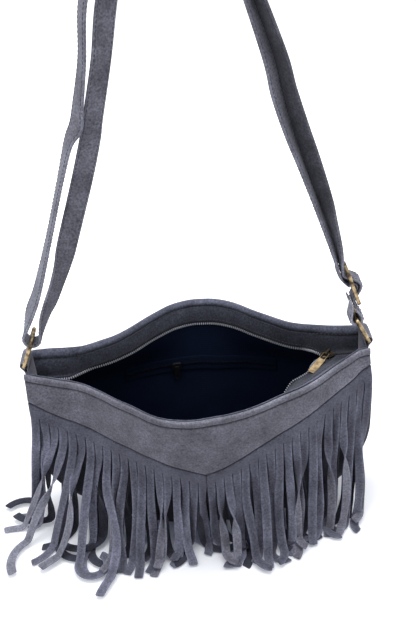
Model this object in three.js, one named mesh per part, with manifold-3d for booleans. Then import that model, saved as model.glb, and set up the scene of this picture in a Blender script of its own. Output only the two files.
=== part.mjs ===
// A fringed suede bag that hangs by its doubled strap, its mouth held open.
// Millimetres, +Z up, front towards -Y. The floor that the fringe reaches is level zero while building.
import * as THREE from 'three';
import { mergeVertices } from 'three/addons/utils/BufferGeometryUtils.js';
import Module from 'manifold-3d';

const wasm = await Module();
wasm.setup();
const { Manifold, Mesh } = wasm;

// Body: two panels joined by a gusset that runs down the sides and under the bottom
const halfWidth = 136;
const rimHeight = 152;
const endDepth = 34;
const cornerWidth = 80;
const cornerHeight = 75;
const suede = 1.2;
const plyGap = 0.8;

// How far the cloth bows out at the middle of the mouth and of the bottom
const frontBow = { top: 48, bottom: 18, sag: 19 };
const backBow = { top: 60, bottom: 3, sag: 0 };
const pinchedEnd = { start: -112, length: 80 };
const openEndSpan = 272;
const openEndPower = 1.2;

// V yoke and fringe
const yokeAtSide = 132;
const yokeAtPoint = 71;
const seamGap = 0.5;
const strandsPerHalf = 20;
const slit = 0.6;
const header = 20;
const fringeDepth = suede + plyGap;
const fringeBelowFloor = 50;
const floorGap = 1.5;
const floorBend = 10;
const strandLean = 14;
const splay = { left: 30, right: 6 };

// Facings and the zip between them
const facingAndTape = { front: 26, back: 21 };
const tapeWidth = 4;
const facingThick = 1.0;
const facingLap = 0.6;
const tapeThick = 0.6;
const rimInset = 2.4;
const hangInset = 4.6;
const teeth = { width: 2.4, height: 2.0 };
const closedHalf = 1.9;
const zipRightZ = 134.5;
const zipLeftZ = 131;
const zipRight = { open: 84, shut: 103 };
const zipLeft = { open: -85, shut: -107 };
const zipReach = 129.5;
const zipColumns = 48;
const zipFlat = 5.5;

// Zip slider and its pull
const sliderX = 106.5;
const slider = { length: 11, width: 9.6, plate: 1.4, gap: 4.2, post: 1.1 };
const bail = { length: 7.4, height: 4.6, width: 2, bar: 1.2, wireLift: 2.2, root: -0.2, chamfer: 0.8 };
const pull = { arm: 7, plate: 17, width: 6.4, wire: 1.2, round: 1.6 };
const pullYaw = THREE.MathUtils.degToRad(-128);
const pullDip = THREE.MathUtils.degToRad(8);

// Lining and its zip pocket on the back wall
const liningInset = 2.8;
const liningThick = 0.6;
const liningBelowRim = 30;
const liningEdge = 3.6;
const edgeStrip = { inset: 5, drop: 20 };
const pocket = { left: -62, right: 66, middle: 2, z: 100, tape: 12, thick: 0.8 };
const pocketRadius = 169;
const pocketInset = 8.5;
const pocketSlider = { x: -18, length: 8, height: 7, thick: 2.6, gap: 0.5 };
const pocketPull = { length: 14, width: 4.5, thick: 1.0, above: 1 };
const pocketBag = { depth: 62, inner: -1.9, outer: -0.9 };

// Rings, their tabs and the doubled strap
const ring = { length: 30, height: 26, wire: 3.4, bend: 3 };
const ringEye = { x: 139, z: 156 };
const ringLean = THREE.MathUtils.degToRad(25);
const legLean = THREE.MathUtils.degToRad(19.2);
const legFoot = { x: 134.541, z: 171.708 };
const tab = { width: 21, bottom: 124, ply: 1.2, foldGap: 0.4 };
const strapWidth = 15;
const strapThick = 2.4;
const strapPlyGap = 1.0;
const strapLoop = 6.8;
const strapLoopLift = 1.5;
const sewnEnd = 24;
const strapClear = 0.4;
const topRadius = 21.7;
const buckle = { length: 31, width: 22, bar: 3, lift: 33 };

const suedeGrey = { color: 0x6b6a72, roughness: 0.95, metalness: 0.0 };
const liningNavy = { color: 0x16171f, roughness: 0.8, metalness: 0.0 };
const tapeGrey = { color: 0x4a4a52, roughness: 0.85, metalness: 0.0 };
const teethGrey = { color: 0x77757a, roughness: 0.5, metalness: 0.1 };
const agedBrass = { color: 0x6e5c40, roughness: 0.45, metalness: 0.9 };

const bag = new THREE.Group();
bag.name = 'fringed_suede_bag';
const hung = new THREE.Group();
bag.add(hung);

const lerp = THREE.MathUtils.lerp;
const clamp01 = (t) => THREE.MathUtils.clamp(t, 0, 1);
const ease = (t) => THREE.MathUtils.smoothstep(t, 0, 1);
const point = (x, y, z) => new THREE.Vector3(x, y, z);

function addPart(name, geometry, finish, parent = hung) {
  const mesh = new THREE.Mesh(geometry, new THREE.MeshStandardMaterial(finish));
  mesh.name = name;
  parent.add(mesh);
  return mesh;
}

// A closed body from vertices and triangles, turned so that its faces look outward
function solid(vertices, triangles) {
  let volume = 0;
  for (const [a, b, c] of triangles) {
    const cross = vertices[b].clone().cross(vertices[c]);
    volume += vertices[a].dot(cross);
  }
  const turned = volume < 0 ? triangles.map(([a, b, c]) => [a, c, b]) : triangles;
  const geometry = new THREE.BufferGeometry();
  geometry.setFromPoints(vertices);
  geometry.setIndex(turned.flat());
  geometry.computeVertexNormals();
  return geometry;
}

// A body drawn through a row of like sections, shut by end caps or joined into a loop
function loft(sections, looped = false) {
  const sides = sections[0].length;
  const vertices = sections.flat();
  const triangles = [];
  const spans = looped ? sections.length : sections.length - 1;
  for (let s = 0; s < spans; s += 1) {
    const here = s * sides;
    const next = ((s + 1) % sections.length) * sides;
    for (let k = 0; k < sides; k += 1) {
      const k1 = (k + 1) % sides;
      triangles.push([here + k, here + k1, next + k1]);
      triangles.push([here + k, next + k1, next + k]);
    }
  }
  if (!looped) {
    const last = (sections.length - 1) * sides;
    for (let k = 1; k < sides - 1; k += 1) {
      triangles.push([0, k + 1, k]);
      triangles.push([last, last + k, last + k + 1]);
    }
  }
  return solid(vertices, triangles);
}

// A cloth body on a grid of cells; cells that are not filled are cut away
function cloth(outerRows, innerRows, filled = () => true) {
  const rows = outerRows.length;
  const columns = outerRows[0].length;
  const used = new Map();
  const vertices = [];
  const triangles = [];
  const corner = (face, r, c) => {
    const key = `${face}:${r}:${c}`;
    if (!used.has(key)) {
      used.set(key, vertices.length);
      vertices.push((face === 0 ? outerRows : innerRows)[r][c]);
    }
    return used.get(key);
  };
  const has = (r, c) => r >= 0 && c >= 0 && r < rows - 1 && c < columns - 1 && filled(r, c);
  const wall = (r0, c0, r1, c1) => {
    const a = corner(0, r0, c0);
    const b = corner(0, r1, c1);
    const c = corner(1, r1, c1);
    const d = corner(1, r0, c0);
    triangles.push([a, b, c], [a, c, d]);
  };
  for (let r = 0; r < rows - 1; r += 1) {
    for (let c = 0; c < columns - 1; c += 1) {
      if (!has(r, c)) continue;
      const o = [corner(0, r, c), corner(0, r, c + 1), corner(0, r + 1, c + 1), corner(0, r + 1, c)];
      const i = [corner(1, r, c), corner(1, r, c + 1), corner(1, r + 1, c + 1), corner(1, r + 1, c)];
      triangles.push([o[0], o[2], o[1]], [o[0], o[3], o[2]]);
      triangles.push([i[0], i[1], i[2]], [i[0], i[2], i[3]]);
      if (!has(r - 1, c)) wall(r, c, r, c + 1);
      if (!has(r + 1, c)) wall(r + 1, c + 1, r + 1, c);
      if (!has(r, c - 1)) wall(r + 1, c, r, c);
      if (!has(r, c + 1)) wall(r, c + 1, r + 1, c + 1);
    }
  }
  return solid(vertices, triangles);
}

// The mouth is pinched shut towards the left end and opens evenly towards the right
function bell(x) {
  if (x < 0) {
    return ease(clamp01((x - pinchedEnd.start) / pinchedEnd.length));
  }
  return Math.max(0, Math.cos((Math.PI * x) / openEndSpan)) ** openEndPower;
}

function bowOf(side) {
  return side < 0 ? frontBow : backBow;
}

function rimZ(side, x) {
  return rimHeight - bowOf(side).sag * (1 - (x / halfWidth) ** 2);
}

// Bottom edge with its rounded corners, or a line that runs inside it at an inset
function bottomZ(x, inset = 0) {
  const across = clamp01((Math.abs(x) - halfWidth + cornerWidth) / (cornerWidth - inset));
  return cornerHeight - (cornerHeight - inset) * Math.sqrt(1 - across * across);
}

// Distance of a wall's inner face from the middle plane
function wallY(side, x, z) {
  const bow = bowOf(side);
  return endDepth / 2 + bell(x) * lerp(bow.bottom, bow.top, z / rimHeight);
}

function onWall(side, x, z, depth) {
  return point(x, side * (wallY(side, x, z) + depth), z);
}

const panelColumns = 24;
const columnX = Array.from({ length: panelColumns + 1 }, (_, i) => {
  return halfWidth * Math.sin((Math.PI / 2) * ((2 * i) / panelColumns - 1));
});

// A layer of a wall between two heights that may change along it
function wallLayer(side, xs, rows, lowZ, highZ, inner, outer) {
  const faceAt = (depth) => Array.from({ length: rows + 1 }, (_, r) => {
    return xs.map((x) => onWall(side, x, lerp(lowZ(x), highZ(x), r / rows), depth));
  });
  return cloth(faceAt(outer), faceAt(inner));
}

const yokeZ = (x) => lerp(yokeAtPoint, yokeAtSide, Math.abs(x) / halfWidth);

// Panels, with the yoke lying on the upper front
for (const [name, side] of [['front_panel', -1], ['back_panel', 1]]) {
  const shape = wallLayer(side, columnX, 5, (x) => bottomZ(x), (x) => rimZ(side, x), 0, suede);
  addPart(name, shape, suedeGrey);
}
const yokeShape = wallLayer(
  -1, columnX, 2, (x) => yokeZ(x) + seamGap, (x) => rimZ(-1, x), fringeDepth, fringeDepth + suede,
);
addPart('front_yoke', yokeShape, suedeGrey);

// Gusset: one strip down the left side, under the bottom and up the right side
function outlinePath() {
  const path = [[-halfWidth, rimHeight], [-halfWidth, (rimHeight + cornerHeight) / 2]];
  const steps = 8;
  const cx = halfWidth - cornerWidth;
  for (let k = 0; k <= steps; k += 1) {
    const a = (Math.PI / 2) * (k / steps);
    path.push([-cx - cornerWidth * Math.cos(a), cornerHeight * (1 - Math.sin(a))]);
  }
  path.push([-cx / 2, 0], [0, 0]);
  const right = path.slice(0, -1).map(([x, z]) => [-x, z]).reverse();
  return [...path, ...right];
}

function gussetStrip(outer, inner, edgeInset, topDrop) {
  const path = outlinePath();
  const sections = path.map(([x, z], i) => {
    const [x0, z0] = path[Math.max(i - 1, 0)];
    const [x1, z1] = path[Math.min(i + 1, path.length - 1)];
    const along = new THREE.Vector2(x1 - x0, z1 - z0).normalize();
    const inward = new THREE.Vector2(-along.y, along.x);
    const zTop = Math.min(z, rimHeight - topDrop);
    const yFront = -wallY(-1, x, z) + edgeInset;
    const yBack = wallY(1, x, z) - edgeInset;
    const at = (y, depth) => point(x + inward.x * depth, y, zTop + inward.y * depth);
    return [at(yFront, outer), at(yBack, outer), at(yBack, inner), at(yFront, inner)];
  });
  return loft(sections);
}
addPart('gusset', gussetStrip(0, suede, plyGap, 0), suedeGrey);

// Fringe: one cut piece under each half of the yoke, slit into strands that reach the floor
function fringeHalf(hand) {
  const pitch = halfWidth / strandsPerHalf;
  const xs = [];
  for (let k = 0; k < strandsPerHalf; k += 1) {
    xs.push(k * pitch + slit / 2, (k + 1) * pitch - slit / 2);
  }
  const spread = (hand < 0 ? splay.left : splay.right) * hand;
  const strandRow = (x, depth, row) => {
    const top = yokeZ(x) - seamGap;
    if (row === 0) return onWall(-1, hand * x, top, depth);
    const edge = onWall(-1, hand * x, top - header, depth);
    if (row === 1) return edge;
    const outward = spread * (x / halfWidth) ** 2;
    const foot = hand * x + outward * 0.7;
    const y = edge.y - strandLean;
    const low = floorGap + depth - fringeDepth;
    if (row === 2) return point(foot, y, floorBend + floorGap);
    if (row === 3) return point(foot, y - floorBend * 0.3, low + floorBend * 0.3);
    return point(hand * x + outward, y - fringeBelowFloor, low);
  };
  const rows = 5;
  const face = (depth) => Array.from({ length: rows }, (_, r) => xs.map((x) => strandRow(x, depth, r)));
  const filled = (r, c) => r === 0 || c % 2 === 0;
  return cloth(face(fringeDepth + suede), face(fringeDepth), filled);
}
addPart('fringe_left', fringeHalf(-1), suedeGrey);
addPart('fringe_right', fringeHalf(1), suedeGrey);

// How far the zip's two tapes have come together at x, from open to shut
function zipShut(x) {
  const end = x > 0 ? zipRight : zipLeft;
  return ease(clamp01((x - end.open) / (end.shut - end.open)));
}

// Free edge of one zip tape: it hangs along its wall in the middle and swings in to meet the other at the ends
function zipEdge(side, x) {
  const top = rimZ(side, x);
  const length = side < 0 ? facingAndTape.front : facingAndTape.back;
  const endZ = x > 0 ? zipRightZ : zipLeftZ;
  const shut = zipShut(x);
  const hanging = wallY(side, x, top - length) - hangInset;
  const y = Math.max(lerp(hanging, closedHalf, shut), closedHalf);
  const inward = wallY(side, x, top) - rimInset - y;
  const drop = Math.sqrt(Math.max(length * length - inward * inward, 0));
  return new THREE.Vector2(y, lerp(top - drop, endZ, shut));
}

const zipX = Array.from({ length: zipColumns + 1 }, (_, i) => lerp(-zipReach, zipReach, i / zipColumns));

// A strip on the way from the rim to the zip edge, its two borders given by their distance from that edge.
// Where the zip is shut the first few millimetres lie flat, so the slider passes over them.
function rimStrip(side, upper, lower, thick) {
  const sections = zipX.map((x) => {
    const top = rimZ(side, x) - 1;
    const rim = new THREE.Vector2(wallY(side, x, top) - rimInset, top);
    const edge = zipEdge(side, x);
    const flat = zipFlat * zipShut(x);
    const knee = new THREE.Vector2(edge.x + flat, edge.y);
    const rise = rim.clone().sub(knee);
    const spotAt = (distance) => {
      if (distance <= flat) return new THREE.Vector2(edge.x + distance, edge.y);
      return knee.clone().addScaledVector(rise, Math.min((distance - flat) / rise.length(), 1));
    };
    const low = spotAt(lower);
    const high = spotAt(upper);
    const normal = new THREE.Vector2(low.y - high.y, high.x - low.x).setLength(thick / 2);
    const at = (spot, sign) => point(x, side * (spot.x + sign * normal.x), spot.y + sign * normal.y);
    return [at(high, 1), at(high, -1), at(low, -1), at(low, 1)];
  });
  return loft(sections);
}

function teethStrip(side) {
  const sections = zipX.map((x) => {
    const edge = zipEdge(side, x);
    const at = (dy, dz) => point(x, side * (edge.x + dy * teeth.width), edge.y + dz * teeth.height);
    return [at(-0.5, -0.5), at(0.5, -0.5), at(0.5, 0.5), at(-0.5, 0.5)];
  });
  return loft(sections);
}

for (const [word, side] of [['front', -1], ['back', 1]]) {
  addPart(`facing_${word}`, rimStrip(side, 2 * facingAndTape.front, tapeWidth + facingLap, facingThick), suedeGrey);
  addPart(`zip_tape_${word}`, rimStrip(side, tapeWidth, teeth.width, tapeThick), tapeGrey);
  addPart(`zip_teeth_${word}`, teethStrip(side), teethGrey);
}

// Lining pouch: two walls and a strip round the edge
for (const [word, side] of [['front', -1], ['back', 1]]) {
  const low = (x) => bottomZ(x, liningEdge);
  const high = (x) => rimZ(side, x) - liningBelowRim;
  const xs = columnX.map((x) => (x * (halfWidth - liningEdge)) / halfWidth);
  const shape = wallLayer(side, xs, 4, low, high, -liningInset - liningThick, -liningInset);
  addPart(`lining_${word}`, shape, liningNavy);
}
const edgeDepth = suede + plyGap;
const edgeShape = gussetStrip(edgeDepth, edgeDepth + liningThick, edgeStrip.inset, edgeStrip.drop);
addPart('lining_edge', edgeShape, liningNavy);

// Zip pocket: tape on an arc over the back lining, and the flat bag hidden behind the lining
const pocketTop = wallY(1, pocket.middle, pocket.z) - pocketInset;
const pocketCentreY = pocketTop - pocketRadius;
function onPocketArc(x, out) {
  const angle = Math.asin((x - pocket.middle) / pocketRadius);
  const reach = pocketRadius + out;
  return new THREE.Vector2(pocket.middle + reach * Math.sin(angle), pocketCentreY + reach * Math.cos(angle));
}
const pocketSteps = 12;
const pocketSections = Array.from({ length: pocketSteps + 1 }, (_, i) => {
  const x = lerp(pocket.left, pocket.right, i / pocketSteps);
  const at = (out, dz) => {
    const p = onPocketArc(x, out);
    return point(p.x, p.y, pocket.z + dz * pocket.tape);
  };
  return [at(0, -0.5), at(pocket.thick, -0.5), at(pocket.thick, 0.5), at(0, 0.5)];
});
addPart('pocket_zip', loft(pocketSections), tapeGrey);
const pocketXs = columnX.filter((x) => x > pocket.left && x < pocket.right);
const pocketBagLow = () => pocket.z - pocketBag.depth;
const pocketBagHigh = () => pocket.z + pocket.tape / 2;
const { inner: bagInner, outer: bagOuter } = pocketBag;
const pocketBagShape = wallLayer(1, pocketXs, 3, pocketBagLow, pocketBagHigh, bagInner, bagOuter);
addPart('pocket_bag', pocketBagShape, liningNavy);

// Pocket slider rides on the inner face of the tape, its pull hanging from it
const pocketSliderAt = onPocketArc(pocketSlider.x, 0);
const pocketTurn = new THREE.Group();
pocketTurn.position.set(pocketSliderAt.x, pocketSliderAt.y, pocket.z);
pocketTurn.rotation.z = -Math.asin((pocketSlider.x - pocket.middle) / pocketRadius);
hung.add(pocketTurn);
const pocketBody = new THREE.BoxGeometry(pocketSlider.length, pocketSlider.thick, pocketSlider.height);
pocketBody.translate(0, -pocketSlider.gap - pocketSlider.thick / 2, 0);
addPart('pocket_zip_slider', pocketBody, agedBrass, pocketTurn);
const pocketPlate = new THREE.BoxGeometry(pocketPull.width, pocketPull.thick, pocketPull.length);
const pocketPullY = -2 * pocketSlider.gap - pocketSlider.thick - pocketPull.thick / 2;
pocketPlate.translate(0, pocketPullY, pocketPull.above - pocketPull.length / 2);
addPart('pocket_zip_pull', pocketPlate, agedBrass, pocketTurn);

// A bent bar: round sections with the given number of sides along a polyline in space
function barAlong(points, radius, sides, looped, across) {
  const sections = points.map((p, i) => {
    const before = looped ? points[(i - 1 + points.length) % points.length] : points[Math.max(i - 1, 0)];
    const after = looped ? points[(i + 1) % points.length] : points[Math.min(i + 1, points.length - 1)];
    const along = after.clone().sub(before).normalize();
    const side = across.clone();
    const up = along.clone().cross(side).normalize();
    return Array.from({ length: sides }, (_, k) => {
      const a = (2 * Math.PI * (k + 0.5)) / sides;
      const p1 = p.clone().addScaledVector(side, radius * Math.cos(a));
      return p1.addScaledVector(up, radius * Math.sin(a));
    });
  });
  return loft(sections, looped);
}

// Solids that are one casting are joined from simple shapes
function toManifold(geometry) {
  const bare = new THREE.BufferGeometry();
  bare.setAttribute('position', geometry.getAttribute('position'));
  if (geometry.index) bare.setIndex(geometry.index);
  const welded = mergeVertices(bare, 1e-4);
  const mesh = new Mesh({
    numProp: 3,
    vertProperties: new Float32Array(welded.getAttribute('position').array),
    triVerts: new Uint32Array(welded.index.array),
  });
  return new Manifold(mesh);
}

function joined(...geometries) {
  const whole = geometries.map(toManifold).reduce((a, b) => a.add(b));
  const mesh = whole.getMesh();
  const vertices = [];
  for (let v = 0; v < mesh.numVert; v += 1) {
    vertices.push(point(...mesh.position(v)));
  }
  const triangles = [];
  for (let t = 0; t < mesh.numTri; t += 1) {
    triangles.push([...mesh.verts(t)]);
  }
  return solid(vertices, triangles);
}

function boxAt(cx, cy, cz, sx, sy, sz) {
  const shape = new THREE.BoxGeometry(sx, sy, sz);
  shape.translate(cx, cy, cz);
  return shape;
}

// Zip slider: plates above and below the teeth, a wedge post between them, and a bail on top
const sliderSpot = new THREE.Group();
sliderSpot.position.set(sliderX, 0, zipRightZ);
hung.add(sliderSpot);
const plateZ = (slider.gap + slider.plate) / 2;
const plateTop = slider.gap / 2 + slider.plate;
const wireZ = plateTop + bail.wireLift;
const bailShape = () => {
  const half = bail.length / 2;
  const top = bail.height;
  const arch = new THREE.Shape();
  arch.moveTo(-half, bail.root);
  arch.lineTo(-half + bail.bar, bail.root);
  arch.lineTo(-half + bail.bar, top - bail.bar);
  arch.lineTo(half - bail.bar, top - bail.bar);
  arch.lineTo(half - bail.bar, bail.root);
  arch.lineTo(half, bail.root);
  arch.lineTo(half, top - bail.chamfer);
  arch.lineTo(half - bail.chamfer, top);
  arch.lineTo(-half + bail.chamfer, top);
  arch.lineTo(-half, top - bail.chamfer);
  const shape = new THREE.ExtrudeGeometry(arch, { depth: bail.width, bevelEnabled: false });
  shape.translate(0, 0, -bail.width / 2);
  shape.rotateX(Math.PI / 2);
  shape.rotateZ(pullYaw);
  shape.translate(0, 0, plateTop);
  return shape;
};
const sliderBody = joined(
  boxAt(0, 0, plateZ, slider.length, slider.width, slider.plate),
  boxAt(0, 0, -plateZ, slider.length, slider.width, slider.plate),
  boxAt((slider.post - slider.length) / 2, 0, 0, slider.post, slider.post, slider.gap + slider.plate),
  bailShape(),
);
addPart('zip_slider', sliderBody, agedBrass, sliderSpot);

// Zip pull: a plate on two thin arms, its cross wire under the bail, lying over the front teeth
const pullSpot = new THREE.Group();
pullSpot.position.set(0, 0, wireZ);
pullSpot.rotation.set(0, pullDip, pullYaw, 'ZYX');
sliderSpot.add(pullSpot);
function pullShape() {
  const half = pull.width / 2;
  const wire = pull.wire / 2;
  const reach = pull.arm + pull.plate;
  const outline = new THREE.Shape();
  outline.moveTo(-wire, -half);
  outline.lineTo(reach - pull.round, -half);
  outline.absarc(reach - pull.round, -half + pull.round, pull.round, -Math.PI / 2, 0, false);
  outline.absarc(reach - pull.round, half - pull.round, pull.round, 0, Math.PI / 2, false);
  outline.lineTo(-wire, half);
  const window = new THREE.Path();
  window.moveTo(wire, -half + pull.wire);
  window.lineTo(pull.arm, -half + pull.wire);
  window.lineTo(pull.arm, half - pull.wire);
  window.lineTo(wire, half - pull.wire);
  outline.holes.push(window);
  const settings = { depth: pull.wire, bevelEnabled: false, curveSegments: 3 };
  const shape = new THREE.ExtrudeGeometry(outline, settings);
  shape.translate(0, 0, -wire);
  return shape;
}
addPart('zip_pull', pullShape(), agedBrass, pullSpot);

// A flat band: rectangular sections along stations of place, width direction and face direction
function band(stations) {
  return loft(stations.map(({ at, across, face, width, thick }) => {
    const w = across.clone().multiplyScalar(width / 2);
    const t = face.clone().multiplyScalar(thick / 2);
    return [
      at.clone().sub(w).sub(t), at.clone().add(w).sub(t),
      at.clone().add(w).add(t), at.clone().sub(w).add(t),
    ];
  }));
}

// Stations along a flat path of [x, z, thickness], the width along the depth of the bag
function flatPath(path, width) {
  return path.map(([x, z, thick], i) => {
    const [x0, z0] = path[Math.max(i - 1, 0)];
    const [x1, z1] = path[Math.min(i + 1, path.length - 1)];
    const along = point(x1 - x0, 0, z1 - z0).normalize();
    const face = point(-along.z, 0, along.x);
    return { at: point(x, 0, z), across: point(0, 1, 0), face, width, thick };
  });
}

// Rings stand in their tabs, leaning inward over the mouth's ends
const barToBar = ring.height - ring.wire;
function ringFrame(hand) {
  const up = point(-hand * Math.sin(ringLean), 0, Math.cos(ringLean));
  return { foot: point(hand * ringEye.x, 0, ringEye.z), along: point(0, 1, 0), up };
}
function ringShape(hand) {
  const { foot, along, up } = ringFrame(hand);
  const halfLong = (ring.length - ring.wire) / 2;
  const { bend } = ring;
  const corners = [
    [halfLong - bend, 0, -90], [halfLong - bend, barToBar - 2 * bend, 0],
    [bend - halfLong, barToBar - 2 * bend, 90], [bend - halfLong, 0, 180],
  ];
  const path = [];
  for (const [a, b, start] of corners) {
    for (const turn of [0, 45, 90]) {
      const angle = THREE.MathUtils.degToRad(start + turn);
      const spot = foot.clone().addScaledVector(along, a + bend * Math.cos(angle));
      path.push(spot.addScaledVector(up, b + bend + bend * Math.sin(angle)));
    }
  }
  const normal = along.clone().cross(up).normalize();
  return barAlong(path, ring.wire / 2, 8, true, normal);
}
addPart('ring_left', ringShape(-1), agedBrass);
addPart('ring_right', ringShape(1), agedBrass);

// Tabs: a folded strip sewn to the outside of the gusset, its fold turned round the ring's lower bar
function tabShape(hand) {
  const eye = ring.wire / 2 + plyGap + tab.ply / 2;
  const nearX = halfWidth + plyGap + tab.ply / 2;
  const farX = nearX + tab.ply + tab.foldGap;
  const path = [[nearX, tab.bottom, tab.ply], [nearX, ringEye.z - 8, tab.ply]];
  for (let k = 0; k <= 10; k += 1) {
    const angle = THREE.MathUtils.degToRad(225 - 27 * k);
    path.push([ringEye.x + eye * Math.cos(angle), ringEye.z + eye * Math.sin(angle), tab.ply]);
  }
  path.push([farX, ringEye.z - 8, tab.ply], [farX, tab.bottom, tab.ply]);
  const handed = path.map(([x, z, thick]) => [hand * x, z, thick]);
  return band(flatPath(handed, tab.width));
}
addPart('tab_left', tabShape(-1), suedeGrey);
addPart('tab_right', tabShape(1), suedeGrey);

// Strap: one long band. From its sewn end at the right ring it runs up outside, over the top and down
// to the left ring, turns through that ring, and comes back inside to end on the buckle's middle bar.
const legOut = point(Math.cos(legLean), 0, Math.sin(legLean));
const legUp = point(-Math.sin(legLean), 0, Math.cos(legLean));
const ply = (strapThick + strapPlyGap) / 2;
const topZ = legFoot.z + (legFoot.x * Math.cos(legLean) - topRadius) / Math.sin(legLean);
const legLength = (topZ - legFoot.z) * Math.cos(legLean) + legFoot.x * Math.sin(legLean);
const barFromFoot = point(
  ringEye.x - barToBar * Math.sin(ringLean) - legFoot.x, 0, ringEye.z + barToBar * Math.cos(ringLean) - legFoot.z,
);
const barUp = barFromFoot.dot(legUp);
const barOut = barFromFoot.dot(legOut);

// A spot on a leg, by its height along the leg and its distance to the outside
function onLeg(hand, up, out, thick = strapThick) {
  const x = legFoot.x + legUp.x * up + legOut.x * out;
  const z = legFoot.z + legUp.z * up + legOut.z * out;
  return [hand * x, z, thick];
}
function loopRound(hand, from, to) {
  const spots = [];
  for (let k = 0; k <= 6; k += 1) {
    const angle = THREE.MathUtils.degToRad(lerp(from, to, k / 6));
    const up = barUp + strapLoopLift + strapLoop * Math.sin(angle);
    spots.push(onLeg(hand, up, barOut + strapLoop * Math.cos(angle)));
  }
  return spots;
}
function topArc(radius, from, to) {
  const spots = [];
  for (let k = 1; k < 8; k += 1) {
    const angle = lerp(from, to, k / 8);
    spots.push([radius * Math.cos(angle), topZ + radius * Math.sin(angle), strapThick]);
  }
  return spots;
}
const barStep = (buckle.length - buckle.bar) / 2;
const passInside = -(buckle.bar + strapThick) / 2 - strapClear;
const wrap = buckle.bar * Math.SQRT1_2 + strapClear + tab.ply / 2;
const passOutside = wrap + tab.ply / 2 + strapClear + strapThick / 2;
const barClear = buckle.bar / 2 + 1;
const sewnOut = passInside - strapThick / 2 - strapClear - tab.ply / 2;
const strapPath = [
  onLeg(1, sewnEnd, sewnOut, tab.ply),
  onLeg(1, 17, sewnOut - 1.2, tab.ply),
  ...loopRound(1, 180, 360),
  onLeg(1, 12, barOut + 4.2),
  onLeg(1, buckle.lift - barStep - barClear, passInside),
  onLeg(1, buckle.lift - barStep + barClear, passInside),
  onLeg(1, buckle.lift - wrap, passOutside),
  onLeg(1, buckle.lift + wrap, passOutside),
  onLeg(1, buckle.lift + barStep - barClear, passInside),
  onLeg(1, buckle.lift + barStep + barClear, passInside),
  onLeg(1, 67, 0.5),
  onLeg(1, 110, 2.9),
  onLeg(1, 168, 4.4),
  onLeg(1, 225, 8.0),
  onLeg(1, 290, 6.5),
  onLeg(1, legLength, ply),
  ...topArc(topRadius + ply, legLean, Math.PI - legLean),
  onLeg(-1, legLength, ply),
  onLeg(-1, 300, 6.0),
  onLeg(-1, 264, 7.6),
  onLeg(-1, 228, 1.0),
  onLeg(-1, 141, -1.7),
  onLeg(-1, 93, -3.0),
  onLeg(-1, 48, -1.0),
  onLeg(-1, 26, barOut + strapLoop),
  ...loopRound(-1, 360, 180),
  onLeg(-1, 26, barOut - strapLoop),
  onLeg(-1, 55, -14),
  onLeg(-1, 96, -15),
  onLeg(-1, 187, -14),
  onLeg(-1, 231, -10),
  onLeg(-1, 269, -5.6),
  onLeg(-1, legLength, -ply),
  ...topArc(topRadius - ply, Math.PI - legLean, legLean),
  onLeg(1, legLength, -ply),
  onLeg(1, 290, 0.5),
  onLeg(1, 225, 0),
  onLeg(1, 168, -4.6),
  onLeg(1, 110, -4.5),
  onLeg(1, 67, -5.5),
  onLeg(1, buckle.lift + barStep + barClear, passInside - strapThick - 0.9),
  onLeg(1, buckle.lift + barStep - barClear, passInside - strapThick - 0.9),
  onLeg(1, buckle.lift + 7, passInside - 2.2, tab.ply),
];
for (let k = 0; k <= 8; k += 1) {
  const angle = THREE.MathUtils.degToRad(150 - 33 * k);
  strapPath.push(onLeg(1, buckle.lift + wrap * Math.sin(angle), wrap * Math.cos(angle), tab.ply));
}
addPart('strap', band(flatPath(strapPath, strapWidth)), suedeGrey);

// Buckle: a flat frame with a middle bar, in the plane of the right leg
const buckleOutline = new THREE.Shape();
const bL = buckle.length / 2;
const bW = buckle.width / 2;
buckleOutline.moveTo(-bW, -bL);
buckleOutline.lineTo(bW, -bL);
buckleOutline.lineTo(bW, bL);
buckleOutline.lineTo(-bW, bL);
for (const level of [-1, 1]) {
  const low = level * (barStep / 2) - (barStep - buckle.bar) / 2;
  const high = low + barStep - buckle.bar;
  const hole = new THREE.Path();
  hole.moveTo(-bW + buckle.bar, low);
  hole.lineTo(bW - buckle.bar, low);
  hole.lineTo(bW - buckle.bar, high);
  hole.lineTo(-bW + buckle.bar, high);
  buckleOutline.holes.push(hole);
}
const buckleShape = new THREE.ExtrudeGeometry(buckleOutline, { depth: buckle.bar, bevelEnabled: false });
buckleShape.translate(0, 0, -buckle.bar / 2);
const [buckleX, buckleZ] = onLeg(1, buckle.lift, 0);
const buckleSpot = new THREE.Group();
buckleSpot.position.set(buckleX, 0, buckleZ);
buckleSpot.quaternion.setFromRotationMatrix(
  new THREE.Matrix4().makeBasis(point(0, 1, 0), legUp, point(0, 1, 0).cross(legUp)),
);
hung.add(buckleSpot);
addPart('strap_buckle', buckleShape, agedBrass, buckleSpot);

// The bag hangs from the underside of the strap's top, which is the origin
const hangZ = topZ + topRadius - ply - strapThick / 2;
hung.position.z = -hangZ;

export default bag;
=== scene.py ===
# A fringed suede bag hanging by its doubled strap, its zipped mouth held open and its fringe on the floor.
# Sizes are millimetres from the middle of the bag and up from its bottom, turned into the frame's metres.
import math
import random

import bmesh
import bpy
from mathutils import Matrix, Quaternion, Vector, noise


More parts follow.
